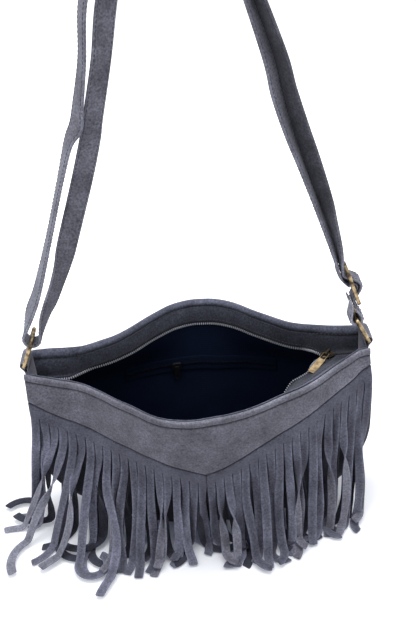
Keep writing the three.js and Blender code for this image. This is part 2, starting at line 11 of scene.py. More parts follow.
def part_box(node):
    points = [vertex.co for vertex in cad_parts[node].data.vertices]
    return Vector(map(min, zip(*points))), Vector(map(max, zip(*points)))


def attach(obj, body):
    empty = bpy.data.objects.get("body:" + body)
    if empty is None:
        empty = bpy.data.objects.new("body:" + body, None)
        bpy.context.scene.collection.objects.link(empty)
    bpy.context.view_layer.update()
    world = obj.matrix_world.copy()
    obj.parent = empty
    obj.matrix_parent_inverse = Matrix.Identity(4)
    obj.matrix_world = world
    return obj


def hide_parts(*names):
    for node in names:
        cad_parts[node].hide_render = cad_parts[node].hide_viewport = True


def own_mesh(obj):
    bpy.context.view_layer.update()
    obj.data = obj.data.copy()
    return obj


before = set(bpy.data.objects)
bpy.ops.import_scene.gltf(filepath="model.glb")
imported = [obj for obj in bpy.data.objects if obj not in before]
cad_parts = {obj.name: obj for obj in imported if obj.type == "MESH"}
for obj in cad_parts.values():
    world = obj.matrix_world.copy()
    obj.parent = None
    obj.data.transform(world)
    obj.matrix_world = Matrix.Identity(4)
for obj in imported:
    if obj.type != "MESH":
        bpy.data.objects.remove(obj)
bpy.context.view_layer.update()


# Camera: it stands in front of the bag, near the height of the strap's top, and looks down into the mouth.
# It is rolled a little, so the right end of the bag stands higher in the picture.
MM = 0.001
bottom_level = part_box("gusset")[0].z


def place(x, y, z):
    return Vector((x * MM, y * MM, bottom_level + z * MM))


camera_spot = place(-1.5, -553.4, 531.0)
look_down = math.radians(31.8)
look_right = math.radians(1.3)
camera_roll = math.radians(-3.6)
camera_lens = 48.16

ahead = Vector((
    math.sin(look_right) * math.cos(look_down),
    math.cos(look_right) * math.cos(look_down),
    -math.sin(look_down),
))
level_right = Vector((math.cos(look_right), -math.sin(look_right), 0))
level_up = level_right.cross(ahead)
picture_right = level_right * math.cos(camera_roll) + level_up * math.sin(camera_roll)
picture_up = level_up * math.cos(camera_roll) - level_right * math.sin(camera_roll)
camera_data = bpy.data.cameras.new("camera")
camera_data.lens = camera_lens
camera_data.sensor_width = 36.0
camera = bpy.data.objects.new("camera", camera_data)
turn = Matrix((picture_right, picture_up, -ahead)).transposed().to_4x4()
camera.matrix_world = Matrix.Translation(camera_spot) @ turn
bpy.context.scene.collection.objects.link(camera)
bpy.context.scene.camera = camera
bpy.context.scene.view_settings.view_transform = "Standard"


# Studio: a white sweep under the fringe tips and soft light from all round.
# The sweep stays white to the eye away from the bag and still takes the bag's soft shadow; near the bag its
# seen-only glow fades to dark blue, a painted shade under the bag.
floor_drop = 0.4
floor_half = 4000.0
floor_white = (0.86, 0.87, 0.9, 1)
floor_stretch = (0.80, 1, 0)
floor_reach = 0.5
room_light = 0.22
# The lift's colour by distance from the bag: dark blue close by, a painted shade, up to white far off.
floor_glow_painted_shade = [
    (0.0, (0.004, 0.006, 0.014)), (0.07, (0.016, 0.020, 0.040)),
    (0.13, (0.32, 0.33, 0.36)), (floor_reach, (1, 1, 1)),
]


def new_material(name):
    material = bpy.data.materials.new(name)
    material.use_nodes = True
    material.node_tree.nodes.clear()
    return material, material.node_tree


def node(tree, kind, sockets, **traits):
    """A new node with its traits; each socket takes a plain value or a link from another node's output."""
    made = tree.nodes.new(kind)
    for trait, value in traits.items():
        setattr(made, trait, value)
    for socket, value in sockets.items():
        if isinstance(value, bpy.types.NodeSocket):
            tree.links.new(value, made.inputs[socket])
        else:
            made.inputs[socket].default_value = value
    return made


def math_node(tree, operation, *terms):
    return node(tree, "ShaderNodeMath", dict(enumerate(terms)), operation=operation).outputs[0]


def object_spot(tree):
    return node(tree, "ShaderNodeTexCoord", {}).outputs["Object"]


def coat(tree, shader):
    """Makes a shader the surface of its material."""
    node(tree, "ShaderNodeOutputMaterial", {"Surface": shader.outputs[0]})


def seen_directly(tree):
    """One for what is seen straight, in a mirror or through glass, and nought for light on the bag."""
    rays = node(tree, "ShaderNodeLightPath", {}).outputs
    mirror = math_node(tree, "MAXIMUM", rays["Is Camera Ray"], rays["Is Glossy Ray"])
    return math_node(tree, "MAXIMUM", mirror, rays["Is Transmission Ray"])


def sweep_finish():
    """Matt white, lifted to plain white to the eye away from the bag and left in its shadow under it, where
    the lift fades to dark blue, a painted shade.
    """
    material, tree = new_material("white_sweep")
    matt = node(tree, "ShaderNodeBsdfDiffuse", {"Color": floor_white})
    flat = node(tree, "ShaderNodeVectorMath", {0: object_spot(tree), 1: floor_stretch}, operation="MULTIPLY")
    away = node(tree, "ShaderNodeVectorMath", {0: flat.outputs["Vector"]}, operation="LENGTH")
    level = node(tree, "ShaderNodeMapRange", {"Value": away.outputs["Value"], "From Max": floor_reach})
    glow = node(tree, "ShaderNodeValToRGB", {"Fac": level.outputs["Result"]})
    stops = glow.color_ramp.elements
    for stop, (distance, colour) in zip(stops, (floor_glow_painted_shade[0], floor_glow_painted_shade[-1])):
        stop.position = distance / floor_reach
        stop.color = (*colour, 1)
    for distance, colour in floor_glow_painted_shade[1:-1]:
        stops.new(distance / floor_reach).color = (*colour, 1)
    lift = node(tree, "ShaderNodeEmission", {"Color": glow.outputs["Color"], "Strength": seen_directly(tree)})
    coat(tree, node(tree, "ShaderNodeAddShader", {0: matt.outputs[0], 1: lift.outputs[0]}))
    return material


floor_mesh = bpy.data.meshes.new("sweep")
floor_corners = [(-1, -1), (1, -1), (1, 1), (-1, 1)]
floor_mesh.from_pydata(
    [place(sx * floor_half, sy * floor_half, -floor_drop) for sx, sy in floor_corners], [], [(0, 1, 2, 3)])
floor_mesh.materials.append(sweep_finish())
sweep = bpy.data.objects.new("sweep", floor_mesh)
bpy.context.scene.collection.objects.link(sweep)

world = bpy.data.worlds.new("white_room")
bpy.context.scene.world = world
world.use_nodes = True
room = world.node_tree.nodes["Background"]
room.inputs["Color"].default_value = (1, 1, 1, 1)
room_level = node(world.node_tree, "ShaderNodeMapRange", {
    "Value": seen_directly(world.node_tree), "To Min": room_light, "To Max": 1.0})
world.node_tree.links.new(room_level.outputs["Result"], room.inputs["Strength"])


def softbox(name, spot, aim, width, height, watts):
    light = bpy.data.lights.new(name, "AREA")
    light.shape = "RECTANGLE"
    light.size = width * MM
    light.size_y = height * MM
    light.energy = watts
    lamp = bpy.data.objects.new(name, light)
    direction = place(*aim) - place(*spot)
    lamp_turn = direction.to_track_quat("-Z", "Y").to_matrix().to_4x4()
    lamp.matrix_world = Matrix.Translation(place(*spot)) @ lamp_turn
    bpy.context.scene.collection.objects.link(lamp)


softbox("left_window", (-900, -600, 1100), (0, 0, 150), 900, 900, 7.0)
softbox("right_window", (950, -500, 1000), (0, 0, 150), 900, 900, 4.6)
softbox("top_light", (60, 200, 1500), (0, 0, 100), 1300, 1000, 22.0)


# Body walls: front and back panels of soft split leather, cut alike and bowed out round the open mouth.
# The mouth is pinched at the left end, where the zip is sewn shut, and opens evenly towards the right.
suede_grey = (0.128, 0.129, 0.160)
half_width = 133.5
end_depth = 34.0
rim_height = 152.0
corner_width = 80.0
corner_height = 75.0
suede_thick = 1.2
end_flare = {-1: 0.036, 1: 0.056}
corner_flare = 0.024
front_mouth = {"left": -106.0, "rise": 92.0, "right": 125.0, "round": 1.7}
back_mouth = {"left": -95.0, "peak": 3.0, "fall": 60.0}
front_bow = {"top": 52.0, "bottom": 24.0, "sag": 19.0, "belly": 4.0}
back_bow = {"top": 64.0, "bottom": 4.0, "sag": 0.0, "belly": 2.0}
rim_ripple = 1.6
rim_round = {-1: 2.0, 1: 1.7}
fold_deep, fold_fine = 2.2, 1.0
flare_drop = 42.0
# The back wall and the lining below the rim are round the arc that the pocket zip's slider runs on.
pocket_arc = {"x": 2.0, "y": -120.0, "radius": 179.1, "z": 100.0, "straight": 70.0, "fade": 62.0}
arc_top = 130.0
arc_blend = 28.0
FRONT, BACK = -1, 1


def ease(t):
    t = min(max(t, 0.0), 1.0)
    return t * t * (3 - 2 * t)


def lerp(a, b, t):
    return a + (b - a) * t


def opening(side, x):
    """How far the mouth is open at x, as a share of the widest place."""
    if side == FRONT:
        if x < 0:
            return ease((x - front_mouth["left"]) / front_mouth["rise"])
        return max(0.0, 1 - (x / front_mouth["right"]) ** front_mouth["round"])
    peak = back_mouth["peak"]
    if x < peak:
        return ease((x - back_mouth["left"]) / (peak - back_mouth["left"]))
    return math.exp(-((x - peak) / back_mouth["fall"]) ** 2)


def bow_of(side):
    return front_bow if side == FRONT else back_bow


def rim_z(side, x):
    ripple = rim_ripple * noise.noise(Vector((x / 34, side * 5.0, 1.5)))
    hollow = 1 - (abs(x) / half_width) ** rim_round[1 if x > 0 else -1]
    return rim_height - bow_of(side)["sag"] * hollow + ripple


def bottom_z(x, inset=0.0):
    across = min(max((abs(x) - half_width + corner_width) / (corner_width - inset), 0.0), 1.0)
    return corner_height - (corner_height - inset) * math.sqrt(1 - across * across)


def belly_of(side, x, height):
    level = math.sin(math.pi * min(max(height, 0), 1))
    return bow_of(side)["belly"] * level * math.cos(math.pi * x / (2 * half_width + 20))


def back_fill(x):
    """Bulge of the back wall below its rim, as a share; the lining then lies on the pocket slider's arc."""
    near = math.copysign(min(abs(x), pocket_arc["straight"] + pocket_arc["fade"]), x)
    height = pocket_arc["z"] / rim_height
    arc = pocket_arc["y"] + math.sqrt(pocket_arc["radius"] ** 2 - (near - pocket_arc["x"]) ** 2)
    full = lerp(back_bow["bottom"], back_bow["top"], height)
    kept = 1 - ease((abs(x) - pocket_arc["straight"]) / pocket_arc["fade"])
    return kept * (arc - end_depth / 2 - belly_of(BACK, x, height)) / full


def wall_y(side, x, z):
    """Distance of a wall's inner face from the middle plane, soft folds included."""
    bow = bow_of(side)
    height = z / rim_height
    share = opening(side, x)
    if side == BACK:
        share = lerp(share, back_fill(x), ease((arc_top - z) / arc_blend))
    out = share * lerp(bow["bottom"], bow["top"], height)
    free = ease((half_width - abs(x)) / 40)
    fold = fold_deep * noise.noise(Vector((x / 30, z / 75, side * 9.0)))
    fold += fold_fine * noise.noise(Vector((x / 14, z / 22, side * 4.0)))
    return end_depth / 2 + out + belly_of(side, x, height) + free * fold


def flare(x, z, corner=1.0):
    """How much wider the body stands at its corners and below its rim; the rings draw in its ends' middle."""
    below = end_flare[1 if x > 0 else -1]
    return 1 + lerp(corner_flare * corner, below, ease((rim_height - z) / flare_drop))


def on_wall(side, x, z, depth):
    return (x * flare(x, z), side * (wall_y(side, x, z) + depth), z)


def noise_of(tree, spot, scale, detail=2):
    return node(tree, "ShaderNodeTexNoise", {"Vector": spot, "Scale": scale, "Detail": detail}).outputs["Fac"]


def ranged(tree, value, to_min, to_max, from_min=0.0, from_max=1.0):
    return node(tree, "ShaderNodeMapRange", {
        "Value": value, "From Min": from_min, "From Max": from_max, "To Min": to_min, "To Max": to_max,
    }).outputs["Result"]


def tinted(tree, colour, shade):
    made = node(tree, "ShaderNodeVectorMath", {0: colour, "Scale": shade}, operation="SCALE")
    return made.outputs["Vector"]


def bumped(tree, height, strength, metres):
    return node(tree, "ShaderNodeBump", {
        "Height": height, "Strength": strength, "Distance": metres}).outputs["Normal"]


def suede(name, colour, edge_and_shading_lift=0.0, grain=0.30):
    """Napped split leather: cloudy patches, a felted grain, and paler or darker where it is marked, by raw
    edges and by painted highlights and shade.
    """
    material, tree = new_material(name)
    spot = object_spot(tree)
    shades = []
    for scale, detail, depth in ((55, 4, 0.28), (650, 3, grain)):
        shades.append(ranged(tree, noise_of(tree, spot, scale, detail), 1 - depth, 1 + depth, 0.3, 0.7))
    if edge_and_shading_lift:
        mark = node(tree, "ShaderNodeAttribute", {}, attribute_name="raw_edge_and_painted_shading").outputs["Fac"]
        shades.append(math_node(tree, "MULTIPLY_ADD", mark, edge_and_shading_lift, 1.0))
    mottle_and_shading = shades[0]
    for shade in shades[1:]:
        mottle_and_shading = math_node(tree, "MULTIPLY", mottle_and_shading, shade)
    coat(tree, node(tree, "ShaderNodeBsdfPrincipled", {
        "Base Color": tinted(tree, colour, mottle_and_shading),
        "Normal": bumped(tree, noise_of(tree, spot, 1500), 0.5, 0.0006),
        "Roughness": 0.95,
        "Specular IOR Level": 0.15,
        "Sheen Weight": 0.22,
        "Sheen Roughness": 0.55,
        "Sheen Tint": (0.75, 0.76, 0.85, 1),
    }))
    return material


def settle(piece):
    """Turns a piece's modifiers into plain smooth mesh."""
    depsgraph = bpy.context.evaluated_depsgraph_get()
    made = bpy.data.meshes.new_from_object(piece.evaluated_get(depsgraph))
    piece.modifiers.clear()
    piece.data = made
    made.polygons.foreach_set("use_smooth", [True] * len(made.polygons))
    return piece


def thicken(piece, thick):
    """Gives a single layer its thickness and a softer shape, with its last material on the reverse."""
    shell = piece.modifiers.new("thickness", "SOLIDIFY")
    shell.thickness = thick * MM
    shell.offset = -1
    shell.material_offset = len(piece.data.materials) - 1
    soft = piece.modifiers.new("softness", "SUBSURF")
    soft.levels = soft.render_levels = 1
    return settle(piece)


def add_piece(name, mesh, *finishes):
    for finish in finishes:
        mesh.materials.append(finish)
    piece = bpy.data.objects.new(name, mesh)
    bpy.context.scene.collection.objects.link(piece)
    return piece


def mark_points(mesh, marks):
    mesh.attributes.new("raw_edge_and_painted_shading", "FLOAT", "POINT").data.foreach_set("value", marks)


def cloth(name, rows, thick, finish, inside_out=False, marks=None, side_mark=None):
    """A piece of cloth through rows of points, low to high and left to right, thickened away from its face.

    The marks, one for a row, make it paler or darker there as painted highlight and shade, and side_mark adds
    to them along the row.
    """
    columns = len(rows[0])
    faces = []
    for r in range(len(rows) - 1):
        for c in range(columns - 1):
            a = r * columns + c
            face = (a, a + 1, a + columns + 1, a + columns)
            faces.append(face[::-1] if inside_out else face)
    mesh = bpy.data.meshes.new(name)
    mesh.from_pydata([place(*p) for row in rows for p in row], [], faces)
    if marks:
        edge_and_shading_marks = []
        for mark, row in zip(marks, rows):
            edge_and_shading_marks += [mark + (side_mark(x) if side_mark else 0.0) for x, y, z in row]
        mark_points(mesh, edge_and_shading_marks)
    piece = add_piece(name, mesh, finish)
    return thicken(piece, thick)


def soft_part(piece, cad_node, body="bag"):
    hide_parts(cad_node)
    close_with_zip(piece, body)


def close_with_zip(piece, body="bag"):
    """Rides with its body, on a mesh of its own."""
    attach(piece, body)
    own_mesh(piece)


wall_suede = suede("wall_suede", suede_grey, 0.5)
# The front wall's suede is painted near-black blue, a painted shade where it lies behind the fringe.
painted_shade_suede = suede("painted_shade_suede", (0.048, 0.049, 0.066))
panel_columns = [half_width * math.sin(math.pi / 2 * (i / 36 - 1)) for i in range(73)]
seam_roll = 3.0


def panel_rows(side, low, high, depth, count, columns=panel_columns):
    rows = []
    for r in range(count + 1):
        row = []
        for x in columns:
            z = lerp(low(x), high(x), r / count)
            to_edge = min(half_width - abs(x), (z - bottom_z(x)) * 0.8)
            roll = 1.6 * (1 - ease(to_edge / seam_roll))
            row.append(on_wall(side, x, z, depth - roll))
        rows.append(row)
    return rows


front_rows = panel_rows(FRONT, bottom_z, lambda x: rim_z(FRONT, x) - 2.5, suede_thick, 26)
front_panel = cloth("front_wall", front_rows, suede_thick, painted_shade_suede)
soft_part(front_panel, "front_panel")

back_rows = panel_rows(BACK, bottom_z, lambda x: rim_z(BACK, x) - 0.3, suede_thick, 30)
for lift, turn_in in ((0.5, 0.5), (0.4, 1.2)):
    top_row = [(x, y - turn_in, z + lift) for x, y, z in back_rows[-1]]
    back_rows.append(top_row)
# The lip's rim row and turned-in top rows are painted paler, a painted highlight on the rolled edge.
back_marks = [0.0] * 30 + [0.5, 1.0, 1.0]
back_panel = cloth("back_wall", back_rows, suede_thick, wall_suede, inside_out=True, marks=back_marks)
soft_part(back_panel, "back_panel")


# Gusset: one long strip of the same leather, sewn between the panels down both ends and under the bottom.
# Its seams are turned inside, so a soft groove is all that shows along each edge.
gusset_steps = 14
gusset_sag = 3.0
gusset_fold = 0.9
seam_turn = 1.2
gusset_bowl = {"from": 60.0, "top": 132.0, "fade": 18.0}
under_tab = {"press": 1.0, "from": 130.0, "over": 15.0, "half": 9.0}


def outline_path():
    """The bag's outline from the left rim, round the bottom and up to the right rim."""
    path = [(-half_width, lerp(rim_height + 0.5, corner_height, k / 14)) for k in range(14)]
    corner = half_width - corner_width
    for k in range(25):
        angle = math.pi / 2 * k / 24
        path.append((-corner - corner_width * math.cos(angle), corner_height * (1 - math.sin(angle))))
    path += [(-corner * (1 - k / 8), 0.0) for k in range(1, 9)]
    return path + [(-x, z) for x, z in reversed(path[:-1])]


def gusset_hollow(z):
    """How hollow the gusset is at a height, as a share; it is drawn out flat under the tabs' folds."""
    return ease(z / gusset_bowl["from"]) * (1 - ease((z - gusset_bowl["top"]) / gusset_bowl["fade"]))


def gusset_rows(inset, sag, trim, drop=0.0):
    """Rows across the gusset, or across the lining inside it, from the left rim round to the right rim."""
    rows = []
    path = outline_path()
    for i, (x, z) in enumerate(path):
        x0, z0 = path[max(i - 1, 0)]
        x1, z1 = path[min(i + 1, len(path) - 1)]
        along = Vector((x1 - x0, z1 - z0)).normalized()
        inward = Vector((-along.y, along.x))
        level = min(z, rim_height - drop)
        y_front = -wall_y(FRONT, x, z) + trim
        y_back = wall_y(BACK, x, z) - trim
        row = []
        for k in range(gusset_steps + 1):
            share = k / gusset_steps
            y = lerp(y_front, y_back, share)
            depth = inset + sag * math.sin(math.pi * share) * gusset_hollow(z)
            depth += seam_turn * (1 - ease(min(share, 1 - share) * gusset_steps / 1.5))
            fold = gusset_fold * noise.noise(Vector((x / 30, y / 12, z / 18)))
            depth += fold * ease(z / 30) * (1 - ease((z - 120) / 20))
            past_tab = abs(y) - under_tab["half"]
            pressed = under_tab["press"] * ease((z - under_tab["from"]) / under_tab["over"])
            depth -= pressed * (1 - ease(past_tab / 4))
            wide = flare(x, level, ease(past_tab / 6))
            row.append(((x + inward.x * depth) * wide, y, level + max(inward.y * depth, 0.0)))
        rows.append(row)
    return rows


gusset = cloth("gusset_strip", gusset_rows(0.0, gusset_sag, 0.2), suede_thick, wall_suede)
soft_part(gusset, "gusset")


# Lining: a pouch of thin navy cloth, sewn to the zip tapes and hanging loose inside the walls.
# A zip pocket is let into its back wall, with its own flat bag behind the cloth.
lining_navy = (0.0030, 0.0062, 0.0180)
lining_thick = 0.6
lining_depth = -2.8
lining_below_rim = 17.0
lining_inset = 3.0
lining_share = 0.972


def woven(name, colour, pitch, relief):
    """Plain woven cloth: crossed threads at the given pitch in millimetres."""
    material, tree = new_material(name)
    spot = object_spot(tree)
    threads = []
    for direction in ("X", "Z"):
        wave = node(tree, "ShaderNodeTexWave", {
            "Vector": spot, "Scale": 314.159 / pitch / 2, "Distortion": 0.4, "Detail": 1,
        }, wave_type="BANDS", bands_direction=direction)
        threads.append(wave.outputs["Fac"])
    weave = math_node(tree, "MULTIPLY", *threads)
    coat(tree, node(tree, "ShaderNodeBsdfPrincipled", {
        "Base Color": tinted(tree, colour, ranged(tree, weave, 0.75, 1.35)),
        "Normal": bumped(tree, weave, 0.4, relief * MM),
        "Roughness": 0.8,
        "Specular IOR Level": 0.04,
    }))
    return material


lining_cloth = woven("navy_lining", lining_navy, 0.8, 0.2)
lining_columns = [x * lining_share for x in panel_columns]


def lining_rows(side):
    rows = []
    for r in range(21):
        row = []
        for x in lining_columns:
            z = lerp(bottom_z(x, lining_inset), rim_z(side, x) - lining_below_rim, r / 20)
            slack = 1.6 * abs(noise.noise(Vector((x / 24, z / 40, 3.0 + side)))) * ease(1.4 * (1 - r / 20))
            row.append(on_wall(side, x, z, lining_depth - slack))
        rows.append(row)
    return rows


for word, side, width, height in (("front", FRONT, 0.28, 0.13), ("back", BACK, 0.29, 0.14)):
    lining = cloth(f"lining_wall_{word}", lining_rows(side), lining_thick, lining_cloth, side == BACK)
    soft_part(lining, f"lining_{word}")

lining_strip = cloth("lining_strip", gusset_rows(3.4, 1.5, 2.2, 26.0), lining_thick, lining_cloth)
soft_part(lining_strip, "lining_edge")

pocket = {"left": -62.0, "right": 66.0, "z": pocket_arc["z"], "tape": 12.0, "bag": 62.0, "bag_top": 5.0}
pocket_columns = [lerp(pocket["left"], pocket["right"], k / 30) for k in range(31)]
pocket_bag_rows = []
for r in range(13):
    z = lerp(pocket["z"] - pocket["bag"], pocket["z"] + pocket["bag_top"], r / 12)
    pocket_bag_rows.append([on_wall(BACK, x, z, -0.9) for x in pocket_columns])
pocket_bag = cloth("pocket_pouch", pocket_bag_rows, 1.0, lining_cloth, inside_out=True)
soft_part(pocket_bag, "pocket_bag")


# Facings and zip tapes: a suede band inside each lip, with the woven zip tape sewn under its lower edge.
# They hang along the walls in the middle and come together under the slider and at the pinched end.
# The facings' suede is painted far darker than the walls', a painted shade inside the mouth.
facing_painted_shade_grey = (0.048, 0.052, 0.074)
facing_length = {FRONT: 26.0, BACK: 21.0}
facing_thick = 1.0
tape_thick = 0.6
tape_cover = 2.6
tape_width = 8.0
zip_right = {"open": 87.0, "shut": 104.0, "z": 134.5}
zip_left = {"open": -85.0, "shut": -107.0, "z": 131.0}
closed_half = 1.7
draw_from, draw_over = 43.0, 33.0
cover_from, cover_over = 108.0, 5.0
least_drop = 7.5
zip_flat = 5.0
zip_reach = 127.0
facing_reach = 132.8
facing_stitch = 5.5
facing_lift = {"plain": 0.8, "puff": 0.6, "groove": 0.5, "over": 1.0, "close": 1.3}
facing_painted_shading = {"lip": 0.9, "groove": 0.35, "zip": 0.25}
column_shares = [math.sin(math.pi / 2 * (i / 50 - 1)) for i in range(101)]
zip_columns = [zip_reach * share for share in column_shares]
facing_columns = [facing_reach * share for share in column_shares]


def zip_shut(x):
    end = zip_right if x > 0 else zip_left
    return ease((x - end["open"]) / (end["shut"] - end["open"]))


def drawn_up(side, x):
    """How far the front facing is drawn up level on its way to the slider."""
    return ease((x - draw_from) / draw_over) if side == FRONT else 0.0


def lip_of(side, x):
    """Where a facing leaves the lip: its distance from the middle plane, and its height."""
    top = rim_z(side, x) - 0.6
    return Vector((wall_y(side, x, top) - 1.6, top))


def zip_edge(side, x):
    """The zip's edge at x: how far it hangs from the middle plane, and how high."""
    length = facing_length[side]
    lip = lip_of(side, x)
    shut = zip_shut(x)
    hanging = lerp(wall_y(side, x, lip.y - length) - 3.6, lip.x - 0.91 * length, drawn_up(side, x))
    y = max(lerp(hanging, closed_half, shut), closed_half)
    drop = math.sqrt(max(length ** 2 - (lip.x - y) ** 2, least_drop ** 2))
    end = zip_right if x > 0 else zip_left
    return Vector((y, lerp(lip.y - drop, end["z"], shut)))


def rim_to_zip(side, x, distance, lift):
    """A spot between the zip edge and the lip, by its distance from that edge and its lift off the face."""
    edge = zip_edge(side, x)
    flat = zip_flat * zip_shut(x)
    knee = Vector((edge.x + flat, edge.y))
    rise = lip_of(side, x) - knee
    if distance < flat:
        spot = edge + Vector((distance, 0))
        normal = Vector((0, 1))
    else:
        reach = min((distance - flat) / rise.length, 1.0)
        normal = Vector((-rise.y, rise.x)).normalized()
        swell = lerp(1.0, -2.2, drawn_up(side, x))
        spot = knee + rise * reach + normal * swell * math.sin(math.pi * reach)
        normal = normal.lerp(Vector((0, 1)), (1 - reach) ** 3 * zip_shut(x)).normalized()
    spot = spot + normal * lift
    return (x, side * spot.x, spot.y)


def covered(x):
    """How far the facings close over the zip at x, behind the slider."""
    return ease((x - cover_from) / cover_over)


def facing_shade(x):
    """The back facing is painted darker towards the right end, a painted shade."""
    return -0.24 * ease((x - 30) / 70)


def zip_span(side, x):
    """The way from the zip edge to the lip."""
    edge = zip_edge(side, x)
    flat = zip_flat * zip_shut(x)
    return flat + (lip_of(side, x) - edge - Vector((flat, 0))).length


facing_suede = suede("facing_suede", facing_painted_shade_grey, 1.5, 0.42)
tape_cloth = woven("zip_tape", (0.050, 0.053, 0.070), 0.7, 0.25)
for word, side, width, length in (("front", FRONT, 0.026, 0.28), ("back", BACK, 0.021, 0.30)):
    seam = 1 - facing_stitch / facing_length[side]
    shares = [0.0, 0.04, 0.1, 0.2, 0.32, 0.45, seam - 0.12, seam - 0.06, seam - 0.03, seam]
    shares += [seam + 0.03, seam + 0.06, seam + 0.12, 0.93, 0.97, 1.0]
    rows, marks = [], []
    for share in shares:
        groove = math.exp(-((share - seam) / 0.035) ** 2)
        puff = facing_lift["puff"] * math.sin(math.pi * min(max((share - seam) / (1 - seam), 0.0), 1.0))
        plain = facing_lift["plain"] + puff - facing_lift["groove"] * groove
        row = []
        for x in facing_columns:
            over = covered(x) * (1 - ease(share / 0.3))
            distance = lerp(lerp(tape_cover, 0.0, covered(x)), zip_span(side, x), share)
            x_out, y, z = rim_to_zip(side, x, distance, plain + facing_lift["over"] * over)
            closer = side * facing_lift["close"] * over
            row.append((x_out * lerp(1, flare(x, rim_height), share), y - closer, z))
        rows.append(row)
        # Painted highlight on the lip's roll, painted shade in the stitch groove and on the lower part
        # towards the zip.
        tone = facing_painted_shading["lip"] * ease((share - seam) / (1 - seam)) - facing_painted_shading["groove"] * groove
        marks.append(tone - facing_painted_shading["zip"] * (1 - ease(share / 0.8)))
    # The two rows turned over the top get a painted highlight.
    for step_in, step_up in ((-0.35, 0.5), (-0.9, 0.7)):
        rows.append([(x, y - side * step_in, z + step_up) for x, y, z in rows[len(shares) - 1]])
        marks.append(1.0)
    side_mark = facing_shade if side == BACK else None
    facing = cloth(f"lip_facing_{word}", rows, facing_thick, facing_suede, side == FRONT, marks, side_mark)
    soft_part(facing, f"facing_{word}")
    tape_rows = [[rim_to_zip(side, x, lerp(0.6, tape_width, k / 3), -0.5) for x in zip_columns]
                 for k in range(4)]
    tape = cloth(f"woven_tape_{word}", tape_rows, tape_thick, tape_cloth, side == FRONT)
    soft_part(tape, f"zip_tape_{word}")


# Zip teeth: a fine moulded coil along the free edge of each tape, one turn after another.
# Where the tapes run together the two coils close into one chain.
teeth_pitch = 1.9
tooth_size = (1.05, 2.5, 1.8)


def plastic(name, colour, roughness, shine=0.5):
    """Moulded plastic or thread with a slight unevenness of shade."""
    material, tree = new_material(name)
    shade = ranged(tree, noise_of(tree, object_spot(tree), 300), 0.8, 1.2)
    coat(tree, node(tree, "ShaderNodeBsdfPrincipled", {
        "Base Color": tinted(tree, colour, shade), "Roughness": roughness, "Specular IOR Level": shine}))
    return material


def row_tree(name):
    """Beads along lines at an even pitch, long along the line and wide along a marked direction."""
    tree = bpy.data.node_groups.new(name, "GeometryNodeTree")
    sockets = (("Lines", "Geometry"), ("Pitch", "Float"), ("Size", "Vector"), ("Finish", "Material"))
    for socket, kind in sockets:
        tree.interface.new_socket(socket, in_out="INPUT", socket_type=f"NodeSocket{kind}")
    tree.interface.new_socket("Row", in_out="OUTPUT", socket_type="NodeSocketGeometry")
    given = node(tree, "NodeGroupInput", {}).outputs
    line = node(tree, "GeometryNodeMeshToCurve", {"Mesh": given["Lines"]}).outputs
    even = node(tree, "GeometryNodeResampleCurve", {
        "Curve": line["Curve"], "Length": given["Pitch"]}, mode="LENGTH").outputs
    bead = node(tree, "GeometryNodeMeshIcoSphere", {"Radius": 0.5, "Subdivisions": 2}).outputs
    tangent = node(tree, "GeometryNodeInputTangent", {}).outputs
    along = node(
        tree, "FunctionNodeAlignRotationToVector", {"Vector": tangent["Tangent"]}, axis="X").outputs
    marked = node(
        tree, "GeometryNodeInputNamedAttribute", {"Name": "across"}, data_type="FLOAT_VECTOR").outputs
    across = node(tree, "FunctionNodeAlignRotationToVector", {
        "Rotation": along["Rotation"], "Vector": marked["Attribute"]}, axis="Y", pivot_axis="X").outputs
    beads = node(tree, "GeometryNodeInstanceOnPoints", {
        "Points": even["Curve"], "Instance": bead["Mesh"],
        "Rotation": across["Rotation"], "Scale": given["Size"]}).outputs
    real = node(tree, "GeometryNodeRealizeInstances", {"Geometry": beads["Instances"]}).outputs
    smooth = node(tree, "GeometryNodeSetShadeSmooth", {"Geometry": real["Geometry"]}).outputs
    painted = node(tree, "GeometryNodeSetMaterial", {
        "Geometry": smooth["Geometry"], "Material": given["Finish"]}).outputs
    node(tree, "NodeGroupOutput", {"Row": painted["Geometry"]})
    return tree


bead_rows = row_tree("bead_rows")


def beads_along(name, lines, pitch, size, finish):
    """One plain mesh of beads along lines of (spot, across) pairs, sizes in millimetres."""
    spots, edges, widths = [], [], []
    for line in lines:
        first = len(spots)
        for spot, across in line:
            spots.append(place(*spot))
            widths.extend(across)
        edges += [(k, k + 1) for k in range(first, len(spots) - 1)]
    mesh = bpy.data.meshes.new(name)
    mesh.from_pydata(spots, edges, [])
    mesh.attributes.new("across", "FLOAT_VECTOR", "POINT").data.foreach_set("vector", widths)
    piece = add_piece(name, mesh)
    rows = piece.modifiers.new("rows", "NODES")
    rows.node_group = bead_rows
    values = {"Pitch": pitch * MM, "Size": Vector(size) * MM, "Finish": finish}
    for item in bead_rows.interface.items_tree:
        if item.in_out == "INPUT" and item.name in values:
            rows[item.identifier] = values[item.name]
    return settle(piece)


coil_plastic = plastic("coil_plastic", (0.36, 0.37, 0.42), 0.45)
for word, side in (("front", FRONT), ("back", BACK)):
    coil = []
    for k in range(241):
        x = lerp(-zip_reach, zip_reach, k / 240)
        edge = zip_edge(side, x)
        coil.append(((x, side * (edge.x + 0.1), edge.y + 0.2), (0, side * 0.8, 0.6)))
    teeth = beads_along(f"coil_teeth_{word}", [coil], teeth_pitch, tooth_size, coil_plastic)
    soft_part(teeth, f"zip_teeth_{word}")


